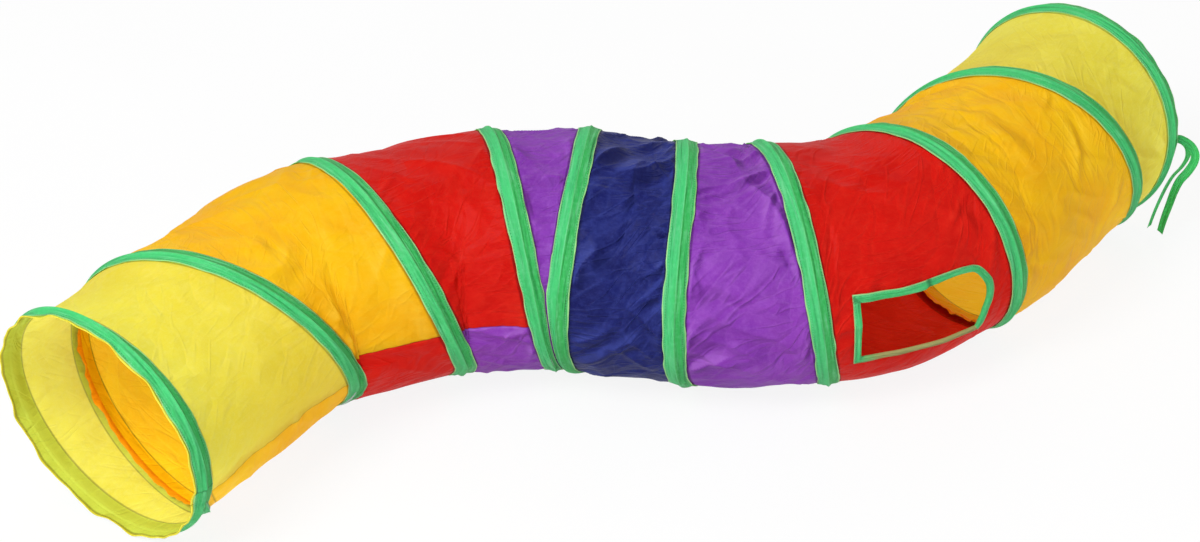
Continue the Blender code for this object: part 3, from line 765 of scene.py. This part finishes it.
def part_mesh(build, kept, name):
    """Mesh of the faces kept, with the normals of the whole strip."""
    copy = build.copy()
    copy.faces.ensure_lookup_table()
    others = [face for face in copy.faces if face.index not in kept]
    bmesh.ops.delete(copy, geom=others, context="FACES")
    mesh = bpy.data.meshes.new(name)
    copy.to_mesh(mesh)
    copy.free()
    smooth = np.zeros(len(mesh.vertices) * 3, np.float32)
    mesh.attributes["smooth"].data.foreach_get("vector", smooth)
    smooth = smooth.reshape(-1, 3)
    smooth /= np.maximum(np.linalg.norm(smooth, axis=1, keepdims=True), 1e-9)
    mesh.attributes.remove(mesh.attributes["smooth"])
    mesh.normals_split_custom_set_from_vertices(smooth)
    return mesh


def add_piece(name, mesh, material, node):
    """Object of a mesh that takes the place of one node of the model."""
    mesh.materials.append(material)
    piece = add_object(name, mesh)
    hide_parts(node)
    return piece


def bend_over(piece):
    """Bake the part's transform into its mesh."""
    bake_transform(piece)


LEAST_SIDE = 0.012           # of a cloth laid flat


def declare_cloth(piece):
    """Work out the size of this part of the cloth, laid flat; nothing is done with it."""
    mesh = piece.data
    mesh.calc_loop_triangles()
    area = sum(triangle.area for triangle in mesh.loop_triangles)
    lay = np.zeros(len(mesh.vertices) * 3, np.float32)
    mesh.attributes["cloth"].data.foreach_get("vector", lay)
    spread = np.ptp(lay.reshape(-1, 3)[:, :2], axis=0)
    length = max(float(spread[0]), LEAST_SIDE)
    width = min(max(float(spread[1]), area / length * 1.02, LEAST_SIDE), area / length / 0.32)
    if width < LEAST_SIDE:
        length, width = area / LEAST_SIDE / 0.6, LEAST_SIDE


# Cloth panels

# Corners of the window as (way past its ring, angle), and how far each is rounded
WINDOW_CORNERS = [(0.009, 13.5, 0), (0.080, 14, 0.016), (0.103, -1.5, 0.018), (0.096, -25, 0.004),
                  (0.011, -21, 0)]
WINDOW_SPACING = 0.0025


def window_outline():
    """The window's edge as (way past its ring, way round) in metres, and the side that each place is on."""
    corners = [np.array([way, radians(a) * TUNNEL_RADIUS]) for way, a, _ in WINDOW_CORNERS]
    stations, count = [], len(corners)
    for i, corner in enumerate(corners):
        radius = WINDOW_CORNERS[i][2]
        if radius == 0:
            stations.append((corner, i))
            continue
        ends = [corner + (other - corner) / np.linalg.norm(other - corner) * radius
                for other in (corners[i - 1], corners[(i + 1) % count])]
        for t in np.linspace(0, 1, 9):
            place = ends[0] * (1 - t) ** 2 + corner * 2 * t * (1 - t) + ends[1] * t ** 2
            stations.append((place, i if t > 0.5 else (i - 1) % count))
    dense = []
    for (a, side), (b, _) in zip(stations, stations[1:] + stations[:1]):
        parts = max(1, int(round(np.linalg.norm(b - a) / WINDOW_SPACING)))
        dense += [(a + (b - a) * i / parts, side) for i in range(parts)]
    return np.array([place for place, _ in dense]), np.array([side for _, side in dense])


WINDOW, WINDOW_SIDE = window_outline()


def inside_window(way, around):
    inside = np.zeros(way.shape, bool)
    for (x0, y0), (x1, y1) in zip(WINDOW, np.roll(WINDOW, -1, 0)):
        crosses = (y0 > around) != (y1 > around)
        with np.errstate(divide="ignore", invalid="ignore"):
            inside ^= crosses & (way < (x1 - x0) * (around - y0) / (y1 - y0) + x0)
    return inside


def panel_rows(number):
    """Steps of a panel's rows, with two more close to each colour seam."""
    first, last = PANEL_STEPS[number], PANEL_STEPS[number + 1]
    rows = np.linspace(first, last, (last - first) * ROWS + 1)
    extra = np.array([0.035, 0.07])
    if number > 0:
        rows = np.concatenate([rows, first + extra])
    if number < LAST_PANEL:
        rows = np.concatenate([rows, last - extra])
    return np.unique(rows)


def loose_edge(end):
    """Ways beyond a rim's wire and heights of the cloth; at the front it is rolled up at its edge."""
    if end == 1:
        return [(HALF_TAPE * t, 0.0) for t in (0.3, 0.6, 0.8, 0.95)]
    flat = [(RIM_LIP * t, 0.0) for t in (0.3, 0.55, 0.78, 0.9, 0.97)]
    turns = [radians(a) for a in range(-90, 241, 33)]
    return flat + [(RIM_LIP + LIP_BEAD * np.cos(a), LIP_BEAD * (1 + np.sin(a))) for a in turns]


def slope_for_painted_shading(height, lay):
    """Slope of the cloth down towards the front and the top, which is the side that the light is on, used to
    paint light and shade into its colour.
    """
    around = np.gradient(height, axis=0) / np.maximum(np.gradient(lay[..., 0], axis=0), 0.0004)
    across = np.gradient(height, axis=1) / np.maximum(np.gradient(lay[..., 1], axis=1), 0.0004)
    return np.clip((around + across) * 0.7, -1.0, 1.0)


WINDOW_GROWN = ((0.055, 0.985), (-0.01, 0.97))       # the cut lies a little under the binding


def outside_window(distance, angle):
    """Which cells of the window panel's grid stay."""
    way = (distance[:-1, :-1] + distance[1:, 1:]) / 2 - RING_DISTANCE[WINDOW_RING]
    turned = (angle[:-1, :-1] + angle[1:, 1:]) / 2
    around = ((turned + pi) % (2 * pi) - pi) * TUNNEL_RADIUS
    return ~inside_window(*((value - middle) * grown + middle
                            for value, (middle, grown) in zip((way, around), WINDOW_GROWN)))


def panel_columns(number, step, edges):
    """Distance of each point of a panel's grid, its share of the way across, way to the binding and rise."""
    angle = wire_angle(step)
    low, low_in, high_in, high, width = edges
    margin = np.minimum(HALF_TAPE, MARGIN_SHARE * gap_at(step))
    free = np.linspace(0, 1, ACROSS + 1)[None, :]
    ways = (0, 1 / 3, 2 / 3)
    beside = [-2 * margin * (1 - t) for t in ways]
    columns = [low + (low_in - low) * t for t in ways] + [low_in + (high_in - low_in) * free]
    columns += [high + (high_in - high) * t for t in ways[::-1]]
    shares = [0 * low] * 3 + [0 * low + free] + [0 * low + 1] * 3
    nears = beside + [np.minimum(free, 1 - free) * width] + beside[::-1]
    rises = [0 * column for column in columns]
    if number in (0, LAST_PANEL):
        end, edge, sign = (0, low, -1) if number == 0 else (1, high, 1)
        for beyond, lift in loose_edge(end):
            rise, shift = rim_wave(angle, beyond, end)
            at = len(columns) if end else 0
            columns.insert(at, moved_along(edge, angle, sign * np.maximum(beyond + shift, 0.0005)))
            shares.insert(at, 0 * edge + end)
            nears.insert(at, 0 * edge + (beyond - HALF_TAPE if lift == 0 else 0.01))
            rises.insert(at, rise + lift)
    return [np.concatenate(parts, 1) for parts in (columns, shares, nears, rises)]


SEAM_DIP = 0.0009
SEAM_PUCKER = 0.0006
UNDER_TAPE = 0.0002


def make_panel(number):
    """One colour of cloth, with its seam allowances inside."""
    step = panel_rows(number)[:, None]
    edges = margins(step)
    _, low_in, high_in, _, width = edges
    distance, share, near, rise = panel_columns(number, step, edges)
    steps, angles, wide = (np.broadcast_to(value, distance.shape)
                           for value in (step, wire_angle(step), width))
    height = cloth_height(number, steps, share, wide)
    from_seam = np.full(steps.shape, 1.0)
    for end in PANEL_STEPS[max(number, 1):min(number + 2, len(PANELS))]:
        away = np.abs(steps - end) * AROUND
        from_seam = np.minimum(from_seam, away)
        height = height - SEAM_DIP * np.exp(-(away / 0.0012) ** 2)
        height = height + SEAM_PUCKER * noise(distance / 0.007, 0, 40 + end) * np.exp(-away / 0.006)
    places = point(distance, angles, height + rise - UNDER_TAPE)
    across = (share - 0.5) * wide + distance - np.clip(distance, low_in, high_in)
    lay = joined(steps * AROUND, across, 0.0)
    # slope towards the light, which paints light and shade into the cloth's colour
    slope = slope_for_painted_shading(height, lay) * ((share > 0) & (share < 1))
    keep = outside_window(distance, angles) if number == WINDOW_PANEL else None
    strip = Strip()
    strip.grid(places, lay, joined(near, from_seam, slope), distance, keep=keep)
    if number > 0:
        strip.grid(*wire_allowance(step))
        strip.grid(*colour_allowance(number))
    return strip


WIRE_ALLOWANCE = 0.0085      # how far each allowance reaches from its seam
COLOUR_ALLOWANCE = 0.0090


def wire_allowance(step):
    """The cloth's ruffled allowance inside the tunnel, along the wire and folded towards the front."""
    rows = np.linspace(step[0, 0], step[-1, 0], 2 * len(step) - 1)[:, None]
    turned = wire_angle(rows)
    before = rows - STEPS_PER_TURN
    gap = gap_at(np.maximum(before, STEPS_PER_TURN))
    room = np.where(before > 0, clamped(gap / 0.03), 0.0)
    rise = clamped(before / 4.0) * room
    u = rows * AROUND
    across = np.linspace(0, 1, 8)[None, :]
    reach = (WIRE_ALLOWANCE + 0.0014 * noise(u / 0.012, 0, 71)) * np.maximum(rise, 0.12)
    ruffle = 0.0026 + 0.0026 * noise(u / 0.014, 0, 72) + 0.0012 * noise(u / 0.006, 0, 73)
    way = -reach * across
    height = -0.0014 - (0.0016 + ruffle * rise) * np.sin(across * 1.9) - 0.0004 * across
    distance = moved_along(wire_distance(before), turned, way, -0.003)
    places = point(distance, turned, height)
    return places, joined(u, way, 0.0), joined(way - FOLDED_MARK, 0.01, 0.0), distance


def colour_allowance(number):
    """The allowance along the colour seam, folded back over the neighbour inside the tunnel."""
    first = PANEL_STEPS[number]
    low, low_in, high_in, high, width = (value[0, 0] for value in margins(np.array([[float(first)]])))
    across = np.linspace(0, 1, 8)[None, :]
    along = np.linspace(low, high, 90)[:, None]
    share = clamped((along - low_in) / (high_in - low_in))
    reach = COLOUR_ALLOWANCE * across
    steps = first - reach / AROUND + 0 * along
    base = cloth_height(number, steps, share + 0 * steps, width + 0 * steps)
    ruffle = 0.0012 + 0.0018 * (0.6 + noise(along / 0.013, 0, 80 + number))
    height = base - 0.0014 - ruffle * np.sin(across * 2.0)
    places = point(along, wire_angle(steps), height)
    seams = joined(-FOLDED_MARK, reach, 0 * along)
    return places, joined(steps * AROUND, along, 0.0), seams, along + 0 * steps


def add_panels():
    for number, name in enumerate(PANELS):
        colour = PANEL_COLOURS[number]
        for piece in make_panel(number).objects(name, CLOTH[colour], colour):
            declare_cloth(piece)


# Binding tape

TAPE_THICK = 0.0006
FIRST_HALF = 0.0036          # rear half of the binding where it comes out from under the front rim's
LEAST_HALF = 0.0004          # a narrower binding is left out
NARROW = 0.003               # under this half-width a binding is smooth and has no wire
HALF_PROFILE = np.array([0.035, 0.08, 0.15, 0.26, 0.42, 0.62, 0.80, 0.93, 1.0])
PROFILE = np.concatenate([-HALF_PROFILE[::-1], [0.0], HALF_PROFILE])


def tape_halves(step):
    """How far the binding reaches each way; beside a rim it lies over the rim's own binding."""
    halves = []
    for neighbour, upper in ((step - STEPS_PER_TURN, step), (step + STEPS_PER_TURN, step + STEPS_PER_TURN)):
        gap = np.minimum(gap_at(upper), gap_at(upper, CREST_OUTER))
        inside = (neighbour >= 0) & (neighbour <= LAST_STEP)
        halves.append(np.minimum(HALF_TAPE, np.where(inside, (gap - CLEARANCE) / 2, gap)))
    eased = clamped((step - 2.5) / 4.5)
    halves[1] = np.minimum(halves[1], FIRST_HALF + (HALF_TAPE - FIRST_HALF) * eased)
    return halves


def tent(off):
    """Height of a binding's outside over the cloth, off its crest by this share of its half-width."""
    off = clamped(np.abs(off))
    return 0.0009 + (CREST_OUTER - 0.0010) * (0.55 * (1 - off) ** 1.1 + 0.45 * np.exp(-off / 0.11))


def tape_rows(distance, angle, halves, u, seed, rim=None):
    """Places, lay and distances of a binding's closed cross-sections along its wire."""
    x, side = PROFILE[None, :], np.sign(PROFILE[None, :])
    half = np.where(x < 0, halves[0][:, None], halves[1][:, None])
    full = clamped((half - NARROW) / (HALF_TAPE - NARROW))
    u, distance, angle = u[:, None], distance[:, None], angle[:, None]
    # the folded tape's ridge wanders a little off its middle
    ridge = 0.03 + 0.04 * noise(u / 0.09, 0, seed)
    off = clamped(np.abs(x - ridge * full * (1 - np.abs(x))) - 0.05) / 0.95
    below = clamped((-np.sin(angle) - 0.1) / 0.6)
    pleat = 0.00045 * noise(u / 0.060 + x * 1.2, x * 3.2, seed + 1) * (1 + 1.2 * below)
    pleat = pleat + 0.0005 * np.maximum(noise(u / 0.022 + x * 2, x * 5.0, seed + 2) - 0.15, 0) * (off > 0.03)
    pleat = pleat * full * clamped(1.25 - np.abs(x))
    lift = 0.0005 * np.maximum(noise(u / 0.012, side * 5, seed + 3), -0.3) * (np.abs(x) > 0.9)
    outer = np.minimum(tent(off) + pleat, CREST_OUTER) + lift * full
    frayed = 0.07 * noise(u / 0.016, side * 3, seed + 4) + 0.06 * noise(u / 0.05, side * 3, seed + 5) - 0.04
    way = x * half * (1 + full * frayed * (np.abs(x) > 0.85))
    if rim is not None:
        sign = (-1, 1)[rim]
        rise, shift = rim_wave(angle, np.maximum(sign * way, 0), rim)
        outer, way = outer + rise, way + sign * shift
    for edge in (0.0, TUNNEL_LENGTH):
        beside = np.abs(distance - edge) < HALF_TAPE * 2.1
        if rim is None and beside.any():
            # where it runs beside a rim it lies on the rim's own binding
            at = moved_along(distance, angle, way)
            reach = np.linalg.norm(point(at, angle, 0) - point(edge, angle, 0), axis=-1)
            raised = np.maximum(outer, tent(reach / HALF_TAPE) + 0.0004)
            outer = np.where(beside & (reach < HALF_TAPE), raised, outer)
    inner = np.maximum(outer - TAPE_THICK, 0.00025)
    way, height, x = (np.concatenate([over, under[:, ::-1]], 1)
                      for over, under in ((way, way), (outer, inner), (x, x)))
    at = moved_along(distance, angle, way, np.clip(height, 0, CREST_INNER))
    return point(at, angle, height), joined(u, x, 0.0), at


def wire_rows(distance, angle):
    """Round sections of the wire, 10 points each."""
    line = point(distance, angle, WIRE_SEAT + WIRE / 2)
    ahead = np.gradient(line, axis=0)
    ahead /= np.linalg.norm(ahead, axis=1, keepdims=True)
    out = point(distance, angle, WIRE_SEAT + WIRE / 2 + 0.01) - line
    out /= np.linalg.norm(out, axis=1, keepdims=True)
    side = np.cross(ahead, out)
    around = np.linspace(0, 2 * pi, 10, endpoint=False)[None, :, None]
    return line[:, None] + (np.cos(around) * out[:, None] + np.sin(around) * side[:, None]) * WIRE / 2


def add_turns():
    """Binding and wire of each turn of the coil."""
    ends = [round(LAST_STEP * turn / TURNS) for turn in range(TURNS + 1)]
    for turn, (first, last) in enumerate(zip(ends, ends[1:])):
        step = np.linspace(first, last, (last - first) * ROWS + 1)
        halves = tape_halves(step)
        held = np.minimum(*halves) > LEAST_HALF
        step, halves = step[held], [half[held] for half in halves]
        places, lay, at = tape_rows(wire_distance(step), wire_angle(step), halves, step * AROUND, 100)
        strip = Strip()
        index = strip.grid(places, lay, 0 * lay, at, across=True)
        if turn == 0:
            strip.close(index[0])
        if turn == TURNS - 1:
            strip.close(index[-1])
        strip.objects("tape_turn_%d" % (turn + 1), TAPE)
        step = step[np.minimum(*halves) > NARROW]
        distance = wire_distance(step)
        places = wire_rows(distance, wire_angle(step))
        at = np.broadcast_to(distance[:, None], places.shape[:2])
        strip = Strip()
        strip.grid(places, 0 * places, 0 * places, at, across=True)
        strip.objects("wire_turn_%d" % (turn + 1), STEEL, "steel")


# Where the ends of each rim's tape meet, as an angle, and how far one lies over the other
RIM_JOINS = (radians(-12), radians(-90))
JOIN_LAP = 0.008
JOIN_RISE = 0.0007


def add_rim_tapes():
    rims = (("tape_rim_front", 0.0, BODIES[0]), ("tape_rim_rear", TUNNEL_LENGTH, BODIES[-1]))
    for end, (name, distance, body) in enumerate(rims):
        start = (FIRST_ANGLE - RIM_JOINS[end]) / STEP
        rows = np.linspace(0, STEPS_PER_TURN, STEPS_PER_TURN * ROWS)[:-1]
        fine = np.linspace(0.01, 0.15, 12)
        step = np.unique(np.concatenate([rows, fine, STEPS_PER_TURN - fine]))
        halves = [np.full(len(step), HALF_TAPE)] * 2
        places, lay, at = tape_rows(np.full(len(step), distance), wire_angle(start + step), halves,
                                    step * AROUND, 140, end)
        left = (STEPS_PER_TURN - step) * AROUND
        lap = JOIN_RISE * clamped(1 - left / JOIN_LAP) ** 0.5
        out = places - section_at(distance)[0]
        places = places + out / np.linalg.norm(out, axis=-1, keepdims=True) * lap[:, None, None]
        # a dark line along the overlapping end, partly stitching and partly painted shadow of its step
        ragged = 0.0012 * noise(lay[..., 1] * 4, 0, 145)
        line = np.minimum(step * AROUND, left)[:, None] - 0.0004 - ragged.clip(0)
        strip = Strip()
        strip.grid(places, lay, joined(np.exp(-(line / 0.0008) ** 2), 0.0, 0.0), at, around=True, across=True)
        strip.whole(name, TAPE, body)


# Window binding

def cloth_at(way, around):
    """Distance, angle and height of the window panel's cloth at these ways past its ring and round."""
    angle = around / TUNNEL_RADIUS
    step = (FIRST_ANGLE - angle) / STEP
    step = step + STEPS_PER_TURN * np.ceil((PANEL_STEPS[WINDOW_PANEL] - step) / STEPS_PER_TURN)
    distance = RING_DISTANCE[WINDOW_RING] + way
    _, low_in, high_in, _, width = margins(step)
    share = clamped((distance - low_in) / (high_in - low_in))
    return distance, angle, cloth_height(WINDOW_PANEL, step, share, width)


BINDING_LEG = 0.0068
BINDING_FOLD = -0.0014
LAP_WAY = 0.049              # where the binding's ends lie over each other on the top side
LAP_FOLD = -0.0030
BOTTOM_NARROWER = 0.42       # the bottom side's leg is folded narrower
TOP_SIDE, BOTTOM_SIDE = 0, 3


def window_offsets():
    """Directions out of the window in (way, around), for one metre over the cloth, mitred at corners."""
    distance, angle = RING_DISTANCE[WINDOW_RING] + WINDOW[:, 0], WINDOW[:, 1] / TUNNEL_RADIUS
    apart = point(distance + 0.0005, angle, 0) - point(distance - 0.0005, angle, 0)
    scale = joined(np.linalg.norm(apart, axis=-1) / 0.001, 1.0)
    before, after = (WINDOW - np.roll(WINDOW, 1, 0)) * scale, (np.roll(WINDOW, -1, 0) - WINDOW) * scale
    normals = []
    for edge in (before, after):
        edge = edge / np.linalg.norm(edge, axis=1, keepdims=True)
        normals.append(joined(edge[:, 1], -edge[:, 0]))
    sign = np.sign(((WINDOW - WINDOW.mean(0)) * normals[0]).sum(1).mean())
    mitre = sign * (normals[0] + normals[1]) / (1 + (normals[0] * normals[1]).sum(1, keepdims=True))
    length = np.concatenate([[0], np.cumsum(np.linalg.norm(after, axis=1))[:-1]])
    return mitre / scale, length


def add_window_binding():
    out, length = window_offsets()
    over = (WINDOW_SIDE == TOP_SIDE) & (WINDOW[:, 0] < LAP_WAY)
    wave = noise(length / 0.018, 0 * length, 151)
    # ways out from the cut edge and heights over the cloth, round the folded tape
    leg, fold = BINDING_LEG, BINDING_FOLD
    section = [(leg, 0.0004), (leg - 0.0002, 0.0012), (leg * 0.72, 0.0010), (leg * 0.35, 0.0014),
               (0.0004, 0.0015), (fold * 0.8, 0.0008), (fold, -0.0003), (fold * 0.8, -0.0016),
               (0.0004, -0.0024), (leg * 0.4, -0.0022), (leg * 0.75, -0.0018), (leg - 0.0004, -0.0020),
               (leg - 0.0004, -0.0012), (0.0006, -0.0013), (-0.0004, -0.0003), (0.0006, 0.0006),
               (leg * 0.6, 0.0004)]
    # painted shadow along the end that lies over the other
    painted_lap_shadow = np.exp(-((WINDOW[:, 0] - LAP_WAY) / 0.0012) ** 2) * (WINDOW_SIDE == TOP_SIDE)
    # the bottom side's leg, narrower, and tinted beige as painted light
    low = (WINDOW_SIDE == BOTTOM_SIDE) * clamped((WINDOW[:, 0] - 0.011) / 0.012)
    rows = []
    for way_out, height in section:
        spread = way_out * (1 + 0.05 * wave * (way_out > 0.004))
        spread = np.where(spread > 0, spread * (1 - BOTTOM_NARROWER * low), spread)
        spread = np.where(over & (way_out <= 0.0006), spread + (LAP_FOLD - fold), spread)
        way, around = (WINDOW + out * spread[:, None]).T
        distance, angle, base = cloth_at(way, around)
        places = point(distance, angle, base + height + 0.0002 * wave + 0.0005 * over * (height > 0))
        x = np.interp(way_out, [fold, leg], [0.1, 1.0])
        rows.append((places, joined(length, -x, 0.0), joined(painted_lap_shadow, 0.9 * low, 0.0), distance))
    strip = Strip()
    strip.grid(*(np.stack(values, 1) for values in zip(*rows)), around=True, across=True)
    strip.objects("window_binding", TAPE)


# Tie ribbon

RIBBON_WIDTH = 0.0095
RIBBON_THICK = 0.00036
MODEL_RIBBON = 0.0005        # thickness of the model's ribbon, which this one takes the place of
TAB_LENGTH = 0.012
TAB_OVERLAP = 0.006          # how far the tab lies on the rim's binding
# Middle lines of the tails from the end of the tab
TAIL_ROUTE_A = [
    (0.000, 0.000, 0.000), (0.008, 0.001, -0.004), (0.016, 0.001, -0.011), (0.0205, 0.000, -0.020),
    (0.020, -0.001, -0.030), (0.014, -0.003, -0.041), (0.006, -0.005, -0.051),
    (0.001, -0.006, -0.064), (-0.003, -0.006, -0.082), (-0.007, -0.006, -0.100),
    (-0.010, -0.006, -0.118)]
TAIL_ROUTE_B = [
    (0.000, 0.000, 0.000), (0.0065, 0.0035, -0.0045), (0.012, 0.006, -0.011), (0.015, 0.008, -0.020),
    (0.0145, 0.008, -0.030), (0.009, 0.007, -0.041), (0.001, 0.006, -0.051),
    (-0.005, 0.006, -0.064), (-0.011, 0.006, -0.082), (-0.016, 0.006, -0.100),
    (-0.020, 0.006, -0.118)]


def ahead_at(places, i):
    """The way that a line of places runs at one of them."""
    return places[min(i + 1, len(places) - 1)] - places[max(i - 1, 0)]


def ribbon_strip(places, across, curl):
    """Closed flat ribbon through places; across are its width vectors."""
    x = np.linspace(-1, 1, 7)
    rows, lays = [], []
    run = 0.0
    for i, (place, side) in enumerate(zip(places, across)):
        if i:
            run += (place - places[i - 1]).length
        side = side.normalized()
        face = ahead_at(places, i).cross(side).normalized()
        rows.append([tuple(place + side * (RIBBON_WIDTH / 2 * t) + face * (curl * t * t + lift))
                     for way, lift in ((x, -RIBBON_THICK / 2), (x[::-1], RIBBON_THICK / 2)) for t in way])
        lays.append([(run, t * 0.9, 0) for t in list(x) + list(x[::-1])])
    strip = Strip()
    grid, lay = np.array(rows), np.array(lays)
    index = strip.grid(grid, lay, 0 * lay, np.full(grid.shape[:2], TUNNEL_LENGTH), across=True)
    strip.close(index[0])
    strip.close(index[-1])
    return strip


ROUTE_PARTS = 6


def smooth_route(route):
    """Smooth line through the route's points, in a few parts between each two."""
    ends = [route[0] * 2 - route[1]] + route + [route[-1] * 2 - route[-2]]
    line = []
    for a, b, c, d in zip(ends, ends[1:], ends[2:], ends[3:]):
        for i in range(ROUTE_PARTS):
            t = i / ROUTE_PARTS
            line.append(0.5 * (2 * b + (c - a) * t + (2 * a - 5 * b + 4 * c - d) * t ** 2
                               + (3 * b - a - 3 * c + d) * t ** 3))
    return line + [route[-1]]


def add_ribbons():
    edge = TUNNEL_LENGTH
    angle = FIRST_ANGLE + 1.5 * STEP
    seat = CLEARANCE + MODEL_RIBBON / 2 - TUNNEL_RADIUS * (1 - np.cos(STEP / 2))
    slope = (CREST_OUTER - EDGE_OUTER) / (HALF_TAPE - HUMP_HALF)
    base = Vector(point(edge + HALF_TAPE - TAB_OVERLAP, angle, EDGE_OUTER + slope * TAB_OVERLAP + seat))
    bend = Vector(point(edge + HALF_TAPE + MODEL_TAPE, angle, EDGE_OUTER + seat))
    outward = (bend - base).normalized()
    tip = base + outward * TAB_LENGTH
    around = Vector(point(edge, angle + 0.01, 0) - point(edge, angle - 0.01, 0)).normalized()
    facing = around.cross(outward).normalized()
    lifted = [base + outward * t + facing * (0.0006 * np.sin(t / TAB_LENGTH * pi))
              for t in np.linspace(0, TAB_LENGTH, 9)]
    strip = ribbon_strip(lifted, [around] * 9, 0.0)
    strip.whole("ribbon_tab", RIBBON, "rear_end")
    for name, route, turn, layer in (("ribbon_tail_a", TAIL_ROUTE_A, radians(60), 0),
                                     ("ribbon_tail_b", TAIL_ROUTE_B, radians(-25), 1)):
        start = tip + outward * CLEARANCE + facing * (layer * (MODEL_RIBBON + CLEARANCE))
        places = smooth_route([start + Vector(way) for way in route])
        across, side = [], around
        for i, place in enumerate(places):
            if i:
                ahead = ahead_at(places, i).normalized()
                side = (side - ahead * side.dot(ahead)).normalized()
                side = Matrix.Rotation(turn / (len(places) - 1), 3, ahead) @ side
            across.append(side)
        strip = ribbon_strip(places, across, 0.0005)
        piece = strip.whole(name, RIBBON, "rear_end")


add_ribbons()
add_panels()
add_turns()
add_rim_tapes()
add_window_binding()

for name in ("wire_rim_front", "wire_rim_rear", "crimp_sleeve_front", "crimp_sleeve_rear"):
    for place in frame["nodes"][name].material_slots:
        place.material = STEEL


# Floor, light and world

WHITE = (1.0, 1.0, 1.0, 1.0)
WORLD_LIGHT = 0.38
FLOOR_SIZE = 14.0
FLOOR_WHITE = 0.88           # how much of the floor that the camera sees is plain white


def add_stage():
    mesh = bpy.data.meshes.new("studio_floor")
    ends = ((-1, -1), (1, -1), (1, 1), (-1, 1))
    mesh.from_pydata([(FLOOR_SIZE * x, FLOOR_SIZE * y, -0.0004) for x, y in ends], [], [(0, 1, 2, 3)])
    material = bpy.data.materials.new("studio_floor")
    n = Nodes(material)
    grain = n.noise(n.add("TexCoord").outputs["Object"], 3.0, 2.0)
    shade = n.mix(n.ramp(grain, 0.3, 0.7), srgb(240, 240, 240), srgb(244, 244, 244))
    matte = n.add("BsdfDiffuse", {"Color": shade}).outputs[0]
    white = n.add("Emission", {"Color": WHITE, "Strength": 1.0}).outputs[0]
    n.finish(n.mix_shader(n.times(n.seen_directly(), FLOOR_WHITE), matte, white))
    mesh.materials.append(material)
    add_object("studio_floor", mesh)


def add_lights():
    for name, place, aim, size, power in (
            ("key", (-1.6, -1.9, 2.8), (0, 0, 0.1), 1.5, 100.0),
            ("fill", (2.6, -1.6, 2.2), (0, 0, 0.1), 2.4, 24.0),
            ("front", (-1.1, -2.8, 0.8), (-0.2, 0, 0.1), 1.4, 15.0),
            ("back", (0.6, 2.8, 2.4), (0, 0, 0.1), 2.2, 26.0)):
        data = bpy.data.lights.new(name, "AREA")
        data.shape = "SQUARE"
        data.size = size
        data.energy = power
        lamp = add_object(name, data)
        lamp.location = place
        lamp.rotation_euler = (Vector(aim) - Vector(place)).to_track_quat("-Z", "Y").to_euler()


def add_world():
    world = bpy.data.worlds.new("studio")
    bpy.context.scene.world = world
    n = Nodes(world, "OutputWorld")
    soft, white = (n.add("Background", {0: WHITE, 1: strength}).outputs[0] for strength in (WORLD_LIGHT, 1.0))
    n.finish(n.mix_shader(n.seen_directly(), soft, white))


add_stage()
add_lights()
add_world()
bpy.context.scene.view_settings.view_transform = "Standard"
